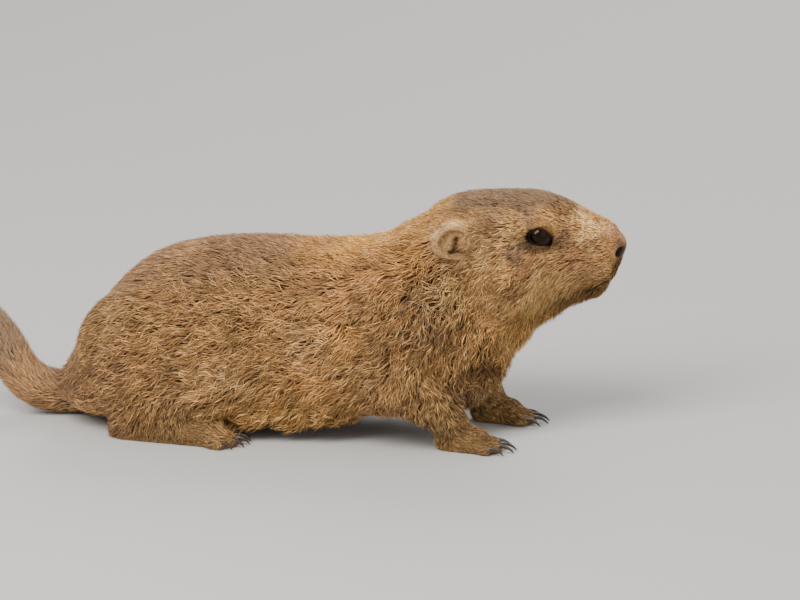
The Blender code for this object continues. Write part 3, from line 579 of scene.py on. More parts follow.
# place, reach, (depth, length and width of the tufts, and how far they stand out, all in mm,
# and how tousled they are)
COAT = [
    ((191, 0, 124), 9, (0.6, 1.2, 0.35, 0.0, 0.3)),
    ((183, 9, 126), 9, (0.9, 2.6, 0.42, 0.0, 0.4)),
    ((174, 15, 112), 12, (1.5, 5.0, 0.5, 0.0, 0.5)),
    ((160, 8, 146), 14, (1.5, 4.5, 0.5, 0.0, 0.4)),
    ((138, 27, 136), 13, (1.4, 4.0, 0.45, 0.0, 0.5)),
    ((125, 0, 156), 22, (2.6, 8.0, 0.65, 0.0, 0.35)),
    ((130, 31, 118), 16, (3.0, 8.5, 0.65, 0.6, 0.8)),
    ((112, 36, 106), 18, (4.5, 12.0, 0.8, 1.4, 1.25)),
    ((162, 0, 92), 12, (3.2, 8.0, 0.62, 1.8, 1.1)),
    ((175, 4, 93), 7, (2.2, 5.0, 0.5, 0.2, 0.7)),
    ((130, 10, 84), 18, (5.0, 13.0, 0.85, 1.8, 1.35)),
    ((88, 0, 154), 18, (4.5, 12.0, 0.82, 0.0, 0.5)),
    ((66, 0, 138), 12, (5.0, 14.0, 0.9, 1.8, 0.7)),
    ((84, 40, 108), 22, (5.2, 14.5, 0.9, 1.0, 1.3)),
    ((94, 0, 52), 26, (5.5, 15.5, 0.92, 1.5, 1.35)),
    ((50, 52, 80), 32, (5.5, 15.0, 0.92, 0.5, 1.15)),
    ((20, 0, 122), 40, (5.0, 14.0, 0.9, 0.0, 0.8)),
    ((-20, 60, 62), 42, (6.0, 15.5, 0.95, 0.5, 1.2)),
    ((-10, 50, 24), 26, (6.0, 18.0, 1.0, 2.0, 1.1)),
    ((-20, 0, 10), 34, (4.0, 14.0, 1.1, 0.0, 1.0)),
    ((-110, 0, 108), 42, (4.5, 13.0, 0.86, 0.0, 0.4)),
    ((-110, 30, 95), 26, (4.5, 12.5, 0.84, 0.0, 0.4)),
    ((-95, 62, 62), 34, (5.5, 14.5, 0.92, 0.0, 1.05)),
    ((-155, 20, 50), 28, (5.0, 14.0, 0.9, 0.0, 0.8)),
    ((70, 42, 30), 18, (4.0, 10.0, 0.8, 0.0, 1.0)),
    ((88, 35, 16), 10, (2.0, 6.0, 0.6, 0.0, 0.6)),
    ((108, 34, 8), 13, (1.0, 4.2, 0.48, 0.0, 0.4)),
    ((-88, 54, 16), 16, (2.6, 8.0, 0.7, 0.0, 0.6)),
    ((-75, 54, 7), 15, (1.1, 4.4, 0.48, 0.0, 0.4)),
    ((-178, 8, 14), 16, (4.0, 13.0, 0.8, 0.4, 0.5)),
    ((-205, 13, 45), 20, (4.5, 13.0, 0.8, 0.6, 0.5)),
    ((-235, 13, 76), 14, (5.0, 17.0, 0.85, 1.0, 0.5)),
    ((177, 0, 98), 8, (2.0, 5.0, 0.5, 0.6, 0.6)),
    ((100, 36, 134), 9, (2.6, 10.0, 0.6, 0.8, 0.6)),
]
EAR_CENTRE = (84, 33.5, 133.6)  # once the ear is laid back, below
EAR_COAT = (0.35, 2.4, 0.3, 0.0, 0.4)


def ear_share(places):
    """1 on an ear, down to 0 past its root and where the temple's hair hides its front."""
    behind_temple = fade(places[:, 0], 90.5, 93.5)
    return fade(gap_to(places, EAR_CENTRE), 12.5, 15.5) * behind_temple * (np.abs(places[:, 1]) > 20)


def eye_near(places):
    """1 at the lids, 0 where their hair has become the face's."""
    return fade(gap_to(places, EYE_PLACE), 8.5, 14)


def coat_at(places):
    """The coat's depth, its tufts' length, width and stand, in mm, and their tousle."""
    share = ear_share(places)[:, None]
    coat = blended(places, COAT) * (1 - share) + np.array(EAR_COAT) * share
    coat[:, :3] *= 1 - 0.5 * eye_near(places)[:, None]
    return coat


depth = coat_at(straightened(points_of(skin.data)))[:, 0]
print("depth in mm from", depth.min().round(1), "to", depth.max().round(1))

# %% [markdown]
# ## Which way the hair lies
# Hair starts at the nose and runs back over the head, down the neck and the flanks, and out
# along the tail and the toes. The same kind of table holds the directions. A direction is then
# laid flat on the surface where the tuft grows.

# %% Directions of the hair
# place, reach, (ahead, out to the side, up)
LIE = [
    ((188, 4, 128), 12, (-0.9, 0.4, 0.3)),
    ((172, 15, 114), 14, (-0.95, 0.2, -0.2)),
    ((164, 0, 94), 13, (-0.9, 0.0, -0.45)),
    ((152, 9, 150), 16, (-1.0, 0.1, 0.1)),
    ((115, 0, 157), 22, (-1.0, 0.0, -0.05)),
    ((146, 26, 128), 12, (-0.95, 0.1, -0.15)),
    ((124, 33, 112), 18, (-0.88, 0.1, -0.45)),
    ((100, 37, 108), 16, (-0.66, 0.0, -0.75)),
    ((125, 0, 82), 18, (-0.85, 0.1, -0.5)),
    ((78, 0, 150), 20, (-0.95, 0.0, -0.3)),
    ((84, 39, 112), 20, (-0.66, 0.0, -0.75)),
    ((98, 0, 55), 24, (-0.3, 0.05, -0.95)),
    ((52, 50, 82), 30, (-0.66, 0.0, -0.75)),
    ((10, 0, 122), 40, (-1.0, 0.0, 0.0)),
    ((-20, 59, 72), 40, (-0.93, 0.0, -0.36)),
    ((-10, 54, 28), 26, (-0.78, 0.0, -0.62)),
    ((-110, 0, 110), 36, (-0.92, 0.0, -0.4)),
    ((-152, 10, 70), 26, (-0.5, 0.0, -0.87)),
    ((-95, 62, 60), 32, (-0.9, 0.0, -0.42)),
    ((-20, 0, 12), 34, (-0.95, 0.3, 0.0)),
    ((70, 43, 34), 18, (-0.1, 0.0, -1.0)),
    ((104, 34, 13), 12, (0.97, 0.0, -0.25)),
    ((-92, 56, 20), 16, (-0.2, 0.0, -0.98)),
    ((-72, 53, 13), 14, (0.97, 0.0, -0.25)),
    ((-166, 4, 14), 12, (-1.0, -0.1, 0.0)),
    ((-188, 10, 20), 12, (-0.6, 0.0, 0.8)),
    ((-206, 13, 46), 16, (-0.45, 0.0, 0.9)),
    ((-232, 13, 74), 16, (-0.75, 0.0, 0.66)),
]
EAR_FACING = np.array((0.45, 0.88, 0.10))
EAR_FACING /= np.linalg.norm(EAR_FACING)


def unit(vectors):
    return vectors / np.maximum(np.linalg.norm(vectors, axis=1, keepdims=True), 1e-9)


def lie_at(places, normals):
    """The way that hair lies, flat on the surface, as unit directions of the model."""
    ways = blended(places, LIE)
    side = np.where(places[:, 1] < 0, -1.0, 1.0)
    ways[:, 1] *= np.tanh(places[:, 1] / 5)  # no parting along the middle
    # Round an eye the hair turns away from the lids.
    from_eye = to_one_side(places) - EYE_PLACE
    from_eye[:, 1] = 0
    ways += 1.5 * eye_near(places)[:, None] * unit(from_eye + 1e-6)
    # Round an ear the hair runs from the middle of the cup to its rim and a little back.
    from_ear = to_one_side(places) - EAR_CENTRE
    from_ear -= (from_ear @ EAR_FACING)[:, None] * EAR_FACING
    to_rim = 0.5 * unit(from_ear + 1e-6) + np.array((-0.7, 0.0, 0.0))
    to_rim[:, 1] *= side
    share = ear_share(places)[:, None]
    ways = unit(ways) * (1 - share) + unit(to_rim) * share
    ways = turned(ways, HEAD_TURN * turned_share(places[:, 0], places[:, 2]))
    return unit(ways - (ways * normals).sum(axis=1)[:, None] * normals)


print("directions from", len(LIE), "places")

# %% [markdown]
# ## The markings
# An alpine marmot of this age is brown all over, but no two parts are the same brown: a greyer
# cap, a warm pale muzzle, a golden nape and shoulder, a dusky patch behind the cheek, a grey-brown
# back and a darker tail. Each row gives the hair's body colour and its paler tip. The skin and
# the tufts both read these rows, so nothing changes colour where the coat thins.

# %% Colours of the coat
# name of the brown: colour of the hair's body and of its tip, and where it is: place and reach
BROWNS = {
    "cap": ("#84664A", "#A4825E", (
        (120, 0, 157, 20), (146, 0, 154, 12), (98, 12, 154, 12),
    )),
    "ash": ("#826344", "#B48E68", (
        (125, 33, 124, 5),
    )),
    "buff": ("#B8864E", "#F2BC78", (
        (188, 0, 110, 6), (178, 13, 124, 8), (161, 16, 138, 4), (176, 4, 145, 8),
        (143, 20, 143, 7),
    )),
    "cream": ("#ECB672", "#FFE2A2", (
        (168, 13, 138, 8), (178, 8, 138, 4),
    )),
    "gold": ("#C29052", "#FFDA98", (
        (121, 29, 140, 6), (107, 37, 125, 4), (152, 22, 112, 4), (112, 42, 99, 4),
        (143, 24, 103, 9), (146, 18, 94, 5), (152, 18, 96, 7), (86, 40, 108, 6), (83, 42, 98, 6),
        (90, 39, 101, 5), (127, 10, 66, 7), (-40, 60, 48, 10),
    )),
    "brow": ("#B08250", "#F4C282", (
        (121, 24, 147.5, 6), (114, 33, 131, 5),
    )),
    "flank": ("#A67844", "#F6C484", (
        (4, 56, 68, 16), (-42, 60, 48, 16), (66, 50, 58, 10), (48, 54, 50, 9), (-115, 56, 82, 9),
    )),
    "glow": ("#C68838", "#FFCC70", (
        (32, 6, 126, 13), (18, 20, 119, 9),
    )),
    "dim": ("#7A542C", "#C49660", (
        (126, 38, 107, 4), (114, 41, 108, 7), (92, 36, 117, 4), (95, 37, 128, 4),
    )),
    # painted shade in the fold where the foreleg meets the throat
    "crease_shade": ("#4E3418", "#8A6234", (
        (111, 22, 58, 7),
    )),
    "rose_buff": ("#D8A070", "#FFD09C", (
        (188, 0, 130, 8), (183, 8, 133, 6),
    )),
    "russet": ("#94663C", "#D6A46E", (
        (153, 10, 150, 6), (86, 0, 152, 7), (158, 21, 121, 6), (130, 34, 116, 4),
        (134, 30, 123, 4),
    )),
    "warm": ("#A07444", "#EABA7C", (
        (172, 15, 126, 6), (174, 15, 110, 10), (83, 14, 151, 9), (150, 24, 118, 8),
        (100, 26, 146, 10), (-156, 40, 66, 9),
    )),
    "cheek": ("#9A6E3C", "#FCC880", (
        (118, 36, 116, 9), (104, 38, 100, 14), (87, 40, 93, 7), (88, 38, 80, 7), (88, 35, 67, 7),
    )),
    "nape": ("#B87E3C", "#FFCA7C", (
        (76, 10, 148, 18), (32, 52, 77, 10), (47, 10, 131, 9), (8, 57, 46, 11),
    )),
    "honey": ("#B27C44", "#FFC67C", (
        (24, 46, 98, 8),
    )),
    "amber": ("#A2703A", "#EEB46E", (
        (44, 34, 112, 14), (4, 10, 122, 20),
    )),
    "earth": ("#8C6234", "#E2AE6C", (
        (72, 40, 118, 5), (44, 50, 94, 12), (60, 50, 84, 14), (56, 52, 60, 22), (-20, 60, 66, 36),
        (-95, 62, 60, 32), (-20, 0, 10, 30),
    )),
    "umber": ("#86603E", "#BE9062", (
        (186, 8, 124, 6), (181, 11, 122, 3), (174, 15, 115, 4), (107, 28, 143, 6),
        (154, 20, 130, 4), (155, 18, 135, 3), (-34, 0, 122, 34), (-108, 61, 54, 13),
        (-82, 62, 52, 9),
    )),
    "mauve": ("#946C44", "#D0A06C", (
        (-15, 8, 122, 9), (-17, 30, 112, 9), (-110, 0, 110, 38), (-155, 15, 60, 24),
        (-184, 14, 20, 12),
    )),
    "dusk": ("#6C4A2A", "#CCA06C", (
        (73, 45, 84, 9), (75, 42, 104, 8), (98, 30, 42, 12),
    )),
    "shade": ("#765426", "#B2864A", (
        (184, 9, 110, 6), (178, 12, 107, 4), (172, 6, 93, 7), (158, 8, 87, 8), (102, 27, 50, 7),
    )),
    "chest": ("#94682F", "#F8C476", (
        (136, 12, 82, 14), (104, 0, 62, 18), (-10, 54, 26, 24),
    )),
    "smoke": ("#7A5E42", "#B4926E", (
        (-220, 13, 60, 26),
    )),
    "ochre": ("#8E6A3C", "#D2A668", (
        (74, 42, 26, 16), (108, 34, 8, 14), (-75, 54, 10, 18),
    )),
}
BODY, TIP = 0, 1


def brown_rows(part):
    return [
        (spot[:3], spot[3], colour(brown[part])) for brown in BROWNS.values() for spot in brown[2]
    ]


print(len(BROWNS), "browns at", len(brown_rows(BODY)), "places")

# %% [markdown]
# Some marks are too thin for the table: the dark line from the front corner of the eye to the
# nose, painted shade in the crease behind the eye, along the mouth and under each nostril, and
# the pale rim and the cleft of each ear, whose dark is painted shade. They are lines in a side
# view, and a place takes their tone by how near it is. Painting them by hand would need a
# picture on the surface, which can't be measured or mirrored so easily.

# %% Draw the dark lines
def away_from_line(ahead, up, line):
    """The distance in a side view from each place to a line of (ahead, up) points."""
    best = np.full(len(ahead), 1e9)
    for (x0, z0), (x1, z1) in zip(line, line[1:]):
        along = ((ahead - x0) * (x1 - x0) + (up - z0) * (z1 - z0)) / ((x1 - x0) ** 2 + (z1 - z0) ** 2)
        along = np.clip(along, 0, 1)
        gap = np.hypot(ahead - x0 - along * (x1 - x0), up - z0 - along * (z1 - z0))
        best = np.minimum(best, gap)
    return best


def mixed_in(base, tone, mask):
    return base * (1 - mask[:, None]) + np.array(colour(tone)) * mask[:, None]


# points ahead and up on the straight head, in mm
TEAR_LINE = ((143, 131), (149, 129.5))
# painted shade in the crease behind the eye
EYE_CREASE_SHADE_LINE = ((129, 134.5), (115, 137))
MOUTH_LINE = ((187, 106), (181, 103), (174, 98.8), (167, 95.5), (161, 93.3), (155, 92.2), (149, 93.5))
# painted shadow under each nostril, down to the lip
NOSTRIL_SHADOW_LINE = ((186.5, 117), (185.5, 110))
CLEFT_IN_EAR = ((85.6, 134), (85, 130), (84.4, 127), (82.6, 126), (91.3, 125.6))
CLEFT_WIDTH = 1.6
RIM_ARC = ((73.8, 138.5), (74.8, 141), (77.2, 143.5), (80.5, 144.6), (84.5, 144), (89, 142.3))


def bell(value, width):
    """1 at 0, and soon 0 on both sides of it."""
    return np.exp(-((value / width) ** 2))


def along_line(places, line, width):
    """1 along a line seen from the side, fading over a width in mm."""
    return bell(away_from_line(places[:, 0], places[:, 2], line), width)


print("points on the line of the mouth:", len(MOUTH_LINE))

# %% [markdown]
# The marks go over the browns one after another, each by a mask from 0 to 1: first the dark hair
# by the eye, partly painted shade, then painted shade along the lips, then the ear, which is pale
# on its rim, browner in its cup and darkened in its cleft by painted shade.

# %% Mix the colours
EAR_RIM = "#FFD494"
EAR_CUP = "#D0A470"
# painted shade in the cleft of each ear
EAR_CLEFT_SHADE = "#4A2C12"
# dark hair at the lids, also painted shade round the eye and in the crease behind it
LID_DARK_AND_SHADE = "#3A2614"
# painted shade along the mouth, under the nostrils and in the cleft of the upper lip
MOUTH_SHADE = "#3A2818"
CHEEK_ASIDE = 18  # what is further out than this can be by an eye
LIPS_START = 145


def markings_at(places, part):
    """The coat's colour at each place, of the hair's body or of its tip."""
    mixed = blended(places, brown_rows(part))
    ahead, aside, upward = to_one_side(places).T
    # The dark hair by the eye, with painted shade round the lids' opening and in the crease behind it.
    eye_lines = 0.8 * along_line(places, TEAR_LINE, 3.6) + 0.6 * along_line(places, EYE_CREASE_SHADE_LINE, 1.3)
    from_lids = almond_share(ahead - EYE_PLACE[0], upward - EYE_PLACE[2])
    lids = 0.6 * fade(from_lids, 1.15, 1.7)
    mixed = mixed_in(mixed, LID_DARK_AND_SHADE, np.maximum(eye_lines, lids) * (aside > CHEEK_ASIDE))
    # Painted shade along the mouth and under each nostril.
    mouth_shadows = 0.4 * along_line(places, MOUTH_LINE, 2.8) * (ahead > LIPS_START)
    mouth_shadows = np.maximum(mouth_shadows, 0.35 * along_line(places, NOSTRIL_SHADOW_LINE, 2.0))
    mixed = mixed_in(mixed, MOUTH_SHADE, mouth_shadows)
    share = ear_share(places)
    mixed = mixed_in(mixed, EAR_CUP, share * 0.8)
    # Painted shade in the ear's cleft.
    cleft = along_line(places, CLEFT_IN_EAR, CLEFT_WIDTH) * (aside < 39)
    mixed = mixed_in(mixed, EAR_CLEFT_SHADE, 0.9 * share * cleft)
    rim = fade(away_from_line(ahead, upward, RIM_ARC), 0.8, 2.2)
    return mixed_in(mixed, EAR_RIM, share * rim)


print("colour on the nose:", markings_at(np.array([[188.0, 0, 130]]), TIP)[0].round(2))

# %% [markdown]
# ## The skin
# The melted form is moved inwards by the coat's depth. Before that, its outside is kept as a
# surface that tufts can be laid along, in a BVH tree, which finds the nearest place quickly.
# The nose, nostrils and the line of the mouth need finer faces than the rest, so those at the
# front of the muzzle are subdivided first.

# %% Refine the muzzle
MUZZLE_STARTS = (147, 176)  # once from here, and once more from there
MUZZLE_BOTTOM = 88


def face_middles(mesh):
    return read(mesh.polygons, "center")


for start in MUZZLE_STARTS:
    where = straightened(face_middles(skin.data))
    on_front = (where[:, 0] > start) & (where[:, 2] > MUZZLE_BOTTOM)
    edit(skin, bpy.ops.mesh.subdivide, on_front, number_cuts=1)
modify(skin, "TRIANGULATE")
print("triangles of skin:", len(skin.data.polygons))

# %% [markdown]
# The solids' ears are thin, deep cups. On the animal, hair fills most of the cup, only a narrow
# cleft stays open at its lower front, and the hair of the temple hides its front edge. So each
# ear is laid back and made a little lower, and the cup's floor is raised along the way that
# the ear faces, up to the temple at the front. The tip of the nose is set back and the chin
# is filled out in the same way, by moving points, each by its nearness to a place.

# %% Lay the ears back and round the nose and chin
EAR_SHIFT = (-7.0, 0.0, 0.6)
EAR_SHRINK = 0.14
EAR_STAYS = 138  # the height on the ear that the shrinking leaves where it is
EAR_TIP_DOWN = 3.2
NOSE_BACK = 2.2
CHIN_LINE = ((176, 95), (166, 90), (152, 86), (144, 81))
CHIN_FORWARD = np.array((0.35, 0.0, -0.94)) * 4.2
CHIN_WIDE = 8  # how far from its line the chin still grows, in mm


def shift(mesh, moves):
    """Moves a mesh's points by moves in mm that are written for the straight head's left."""
    points = points_of(mesh)
    moves = moves.copy()
    moves[:, 1] *= np.sign(straightened(points)[:, 1])
    set_points(mesh, points + turned(moves, HEAD_TURN) * MM)
    return straightened(points_of(mesh))


places = straightened(points_of(skin.data))
on_ear = fade(gap_to(places, EAR_SOLID), 12, 24)
moves = on_ear[:, None] * EAR_SHIFT
moves[:, 2] += on_ear * EAR_SHRINK * (EAR_STAYS - places[:, 2])
front_top = smooth_step(places[:, 0], 86, 96) * smooth_step(places[:, 2], 136, 144)
moves[:, 2] -= on_ear * EAR_TIP_DOWN * front_top
ahead, aside, upward = to_one_side(places).T
on_tip = smooth_step(ahead, 178, 189) * smooth_step(upward, 101, 110)
on_tip *= fade(upward, 131, 138)
moves[:, 0] -= NOSE_BACK * on_tip
on_chin = along_line(places, CHIN_LINE, CHIN_WIDE) * fade(aside, 8, 20)
on_chin *= smooth_step(ahead, 136, 146) * fade(ahead, 178, 184)
moves += on_chin[:, None] * CHIN_FORWARD
near_eye = fade(gap_to(places, EYE_SOLID), 10, 20)
moves += near_eye[:, None] * np.array(EYE_SHIFT)
places = shift(skin.data, moves)
print("moved by up to", np.linalg.norm(moves, axis=1).max().round(1), "mm")

# %% [markdown]
# The floor of each cup comes up along the way that the ear faces. The cup's walls fold as it
# rises, so they are smoothed by a group of points of their own, and the narrow cleft is pressed
# in last.

# %% Fill the cups of the ears and press their clefts
CUP_FLOOR = 1.0
CUP_FLOOR_FRONT = 3.5  # how much higher it is at the temple
CLEFT_DEPTH = 3.4
from_ear = to_one_side(places) - EAR_CENTRE
outward = from_ear @ EAR_FACING
round_cup = np.linalg.norm(from_ear - outward[:, None] * EAR_FACING, axis=1)
cup_floor = CUP_FLOOR + CUP_FLOOR_FRONT * smooth_step(places[:, 0], 86, 92)
raised = np.clip(cup_floor - outward, 0, 15) * fade(round_cup, 8, 11)
raised *= (np.abs(places[:, 1]) > 18) * (outward > -14)
places = shift(skin.data, raised[:, None] * EAR_FACING)
cup = smooth_step(places[:, 0], 77, 80) * fade(places[:, 0], 95, 100)
cup *= smooth_step(places[:, 2], 119, 123) * fade(places[:, 2], 139, 142)
cup *= np.abs(places[:, 1]) > 20
group = skin.vertex_groups.new(name="cup")
group.add(np.nonzero(cup > 0.5)[0].tolist(), 1, "REPLACE")
modify(skin, "SMOOTH", factor=0.5, iterations=14, vertex_group="cup")
places = straightened(points_of(skin.data))
in_cup = fade(gap_to(places, EAR_CENTRE), 9, 13)
pressed = CLEFT_DEPTH * along_line(places, CLEFT_IN_EAR, CLEFT_WIDTH) * in_cup
pressed *= np.abs(places[:, 1]) > 24
places = shift(skin.data, -pressed[:, None] * EAR_FACING)
print("cup floor raised by up to", raised.max().round(1), "mm")

# %% [markdown]
# Now the skin moves in, along each point's own normal. A thin part such as an ear would turn
# inside out, so a ray is sent through the form at each point, and no point goes further in than
# a third of the thickness there. Behind the lids the skin steps back to make room for them.

# %% Keep the coat's outside, and move the skin in
THIN_SHARE = 0.33
SOLE_TOP, SOLE_DEPTH = 3.0, 0.3
SOCKET_DEPTH = 3.0
coat_points = points_of(skin.data)
coat_points[:, 2] = np.maximum(coat_points[:, 2], 0)
set_points(skin.data, coat_points)
coat_normals = normals_of(skin.data)
places = straightened(coat_points)
triangles = np.empty(len(skin.data.polygons) * 3, np.int32)
skin.data.polygons.foreach_get("vertices", triangles)
triangles = triangles.reshape(-1, 3)
coat_tree = BVHTree.FromPolygons(coat_points.tolist(), triangles.tolist())

depth = coat_at(places)[:, 0]
sole = (places[:, 2] < SOLE_TOP) & (coat_normals[:, 2] < -0.6)
depth = np.where(sole, SOLE_DEPTH, depth)
for i, (point, normal) in enumerate(zip(coat_points.tolist(), coat_normals.tolist())):
    inwards = -Vector(normal)
    across = coat_tree.ray_cast(Vector(point) + inwards * 0.1 * MM, inwards)[3]
    if across is not None:
        depth[i] = min(depth[i], across / MM * THIN_SHARE)
skin_points = coat_points - coat_normals * depth[:, None] * MM
for eye in EYES.values():
    share, away = eye.inside(coat_points)
    socket = fade(share, 1.15, 1.45) * (away < 16)
    skin_points -= SOCKET_DEPTH * MM * socket[:, None] * np.array(eye.out)
skin_points[:, 2] = np.maximum(skin_points[:, 2], 0)
set_points(skin.data, skin_points)
print("skin moved in by", depth.mean().round(1), "mm on average")

# %% [markdown]
# ## Nose and mouth
# A rodent's upper lip is split below the nose, its nostrils are commas that open to the side,
# and its mouth is a short line that curls up at the back. They are pressed into the skin's
# points by how near each point is to a line or to a nostril's middle, which gives soft lips for
# free. A Boolean would cut hard edges instead.

# %% Press in the nostrils, the cleft and the mouth
CLEFT_LINE = ((189.5, 118), (187.5, 112), (184.5, 105.5))
NOSTRIL = (186.8, 8.8, 120.4)


def mouth_gap(places):
    return away_from_line(places[:, 0], places[:, 2], MOUTH_LINE)


def nostril_gap(places):
    """How far a place is from a nostril's comma, 1 at its edge."""
    ahead = (places[:, 0] - NOSTRIL[0]) / 4.5
    aside = (np.abs(places[:, 1]) - NOSTRIL[1] + 0.5 * (places[:, 0] - NOSTRIL[0])) / 4.2
    upward = (places[:, 2] - NOSTRIL[2] - 0.1 * (places[:, 0] - NOSTRIL[0])) / 3.8
    return np.sqrt(ahead**2 + aside**2 + upward**2)


gap = mouth_gap(places)
# A groove along the line, with the soft swell of a lip on each side of it.
press = 1.5 * bell(gap, 0.9) - 0.45 * bell(gap - 2.2, 1.1)
on_muzzle = smooth_step(places[:, 0], 144, 151)
press *= on_muzzle
cleft = away_from_line(places[:, 0], places[:, 2], CLEFT_LINE)
press += 1.4 * bell(places[:, 1], 0.7) * bell(cleft, 2.5)
nostril = nostril_gap(places)
# A hollow, with a low wall round it.
press += 3.2 * fade(nostril, 0.45, 1.1)
press -= 0.4 * bell(nostril - 1.45, 0.3)
skin_points = skin_points - coat_normals * press[:, None] * MM
set_points(skin.data, skin_points)
print("deepest press:", press.max().round(1), "mm")

# %% [markdown]
# ## The skin's colour and surface
# Under the coat the skin is close to the hair's own colour, darker because little light gets
# there. Where the hair is shortest the skin is what is seen, so it carries a fine hair-like
# bump: a noise stretched along the lie of the coat. The colours are kept as an attribute of the
# mesh's points, which the shader reads, so no picture is needed. The bare leather round the
# nostrils is pinkish grey, finely pebbled and a little moist.

# %% Colour the skin
def add_attribute(mesh, name, values):
    """Stores a colour, or one number, for each point of a mesh."""
    if values.ndim == 2:
        full = np.ones((len(values), 4), np.float32)
        full[:, :3] = values
        layer = mesh.attributes.new(name, "FLOAT_COLOR", "POINT")
        layer.data.foreach_set("color", full.ravel())
    else:
        layer = mesh.attributes.new(name, "FLOAT", "POINT")
        layer.data.foreach_set("value", values.astype(np.float32))


NOSE_LEATHER = "#705442"
# painted shade inside the nostrils
NOSTRIL_SHADE = "#0C0603"


def nose_share(places):
    """1 on the bare leather of the nose."""
    ahead = (places[:, 0] - 189) / 7.0
    aside = places[:, 1] / 8.5
    upward = (places[:, 2] - 121) / 6.5
    return fade(np.sqrt(ahead**2 + aside**2 + upward**2), 0.78, 1.05)


short = fade(depth, 1.5, 5)
shade = (0.6 + 0.25 * short)[:, None]
tones = markings_at(places, BODY) * shade
bare = nose_share(places)
tones = mixed_in(tones, NOSE_LEATHER, bare)
# Painted shade in the slit of the mouth.
tones = mixed_in(tones, MOUTH_SHADE, on_muzzle * 0.8 * fade(gap, 0.3, 1.5))
# Painted shade in the nostrils.
tones = mixed_in(tones, NOSTRIL_SHADE, fade(nostril, 0.7, 1.15))
# Painted shade in the cleft of the upper lip.
tones = mixed_in(tones, MOUTH_SHADE, 0.5 * bell(places[:, 1], 0.8) * bell(cleft, 2.5))
add_attribute(skin.data, "tone", tones)
add_attribute(skin.data, "bare", bare * smooth_step(nostril, 1.0, 1.3))
print("bare nose points:", int((bare > 0.5).sum()))

# %% [markdown]
# The skin's own material has to look like hair too, because on the nose, the ears' rims and the
# toes the tufts are thin. The noise is stretched along the body, as hair lies, and it drives
# both the tone and a bump. On the bare leather a pattern of cells takes its place.

# %% Make the skin's material
def mottled(tree, noise, dark, light):
    """The tone of a mesh's points, made darker and lighter by a noise."""
    tone = add_node(tree, "ShaderNodeAttribute", {"attribute_name": "tone"})
    share = add_node(
        tree,
        "ShaderNodeMapRange",
        links={"Value": noise},
        From_Min=0.3,
        From_Max=0.7,
        To_Min=dark,
        To_Max=light,
    )
    shaded = add_node(
        tree,
        "ShaderNodeVectorMath",
        {"operation": "SCALE"},
        {"Vector": tone.outputs["Color"], "Scale": share.outputs["Result"]},
    )
    return shaded.outputs["Vector"]


# A hair is about 0.06 mm thick, which is too fine to show, so it is drawn four times as coarse.
HAIR_WIDTH = 0.25 * MM
# So are the pebbles of the leather, which are half as wide on the animal.
PEBBLE = 1.0 * MM
# Hair too short to tell apart: dull and finely streaked, moist only on the bare leather.
pelt, tree, shader = new_material("short_hair_on_skin", Specular_IOR_Level=0.3)
bare_part = add_node(tree, "ShaderNodeAttribute", {"attribute_name": "bare"})
where = add_node(tree, "ShaderNodeTexCoord")
stretched = add_node(
    tree, "ShaderNodeMapping", links={"Vector": where.outputs["Object"]}, Scale=(0.22, 1, 0.7)
)
hairs = add_node(
    tree,
    "ShaderNodeTexNoise",
    links={"Vector": stretched.outputs["Vector"]},
    Scale=1 / (4 * HAIR_WIDTH),
    Detail=3.0,
    Roughness=0.6,
)
pebbles = add_node(
    tree, "ShaderNodeTexVoronoi", links={"Vector": where.outputs["Object"]}, Scale=1 / PEBBLE
)
tree.links.new(mottled(tree, hairs.outputs["Fac"], 0.72, 1.22), shader.inputs["Base Color"])
relief = add_node(
    tree,
    "ShaderNodeMix",
    {"data_type": "FLOAT"},
    {
        "Factor": bare_part.outputs["Fac"],
        "A": hairs.outputs["Fac"],
        "B": pebbles.outputs["Distance"],
    },
)
bump = add_node(
    tree, "ShaderNodeBump", links={"Height": relief.outputs["Result"]}, Strength=0.5, Distance=0.4 * MM
)
tree.links.new(bump.outputs["Normal"], shader.inputs["Normal"])
gloss = add_node(
    tree,
    "ShaderNodeMapRange",
    links={"Value": bare_part.outputs["Fac"]},
    To_Min=0.72,
    To_Max=0.42,
)
tree.links.new(gloss.outputs["Result"], shader.inputs["Roughness"])
skin.data.materials.clear()
skin.data.materials.append(pelt)
only(skin)
bpy.ops.object.shade_smooth()
print("material:", pelt.name)

# %% [markdown]
# ## Unwrapping the skin
# Each tuft needs a place of its own on a flat map of the skin, so that its colours can be baked
# later. Smart UV Project cuts a closed form into flat islands by the way its faces look, which
# suits a body with no seams of its own. The tufts take over the place of the face they grow
# from.

# %% Unwrap
edit(skin, bpy.ops.uv.smart_project, angle_limit=math.radians(66), island_margin=0.002)
skin.data.uv_layers[0].name = "OFBake"
skin_uv = np.empty(len(skin.data.loops) * 2, np.float32)
skin.data.uv_layers[0].data.foreach_get("uv", skin_uv)
skin_uv = skin_uv.reshape(-1, 3, 2)
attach(skin, "root")
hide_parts(*FLESH)
print("unwrapped faces:", len(skin_uv))

# %% [markdown]
# ## Growing the coat
# A tuft is a few hairs that stick together: a thin blade with three sides that tapers to a
# point. Its root is in the skin, it rises through the coat's depth, bends to follow the body,
# and ends at the outside of the coat or a little past it. All tufts of a region are computed at
# once as arrays and made into one mesh, because a hundred thousand separate objects would stop
# Blender. A curly, weathered look comes from three things: tufts lean to a common tip in small
# clumps, each one waves a little, and their lengths and tones differ.

# %% Place the roots
random = np.random.default_rng(20)
corners = coat_points[triangles]
face_area = np.linalg.norm(
    np.cross(corners[:, 1] - corners[:, 0], corners[:, 2] - corners[:, 0]), axis=1
) / 2
middle_places = straightened(corners.mean(axis=1))


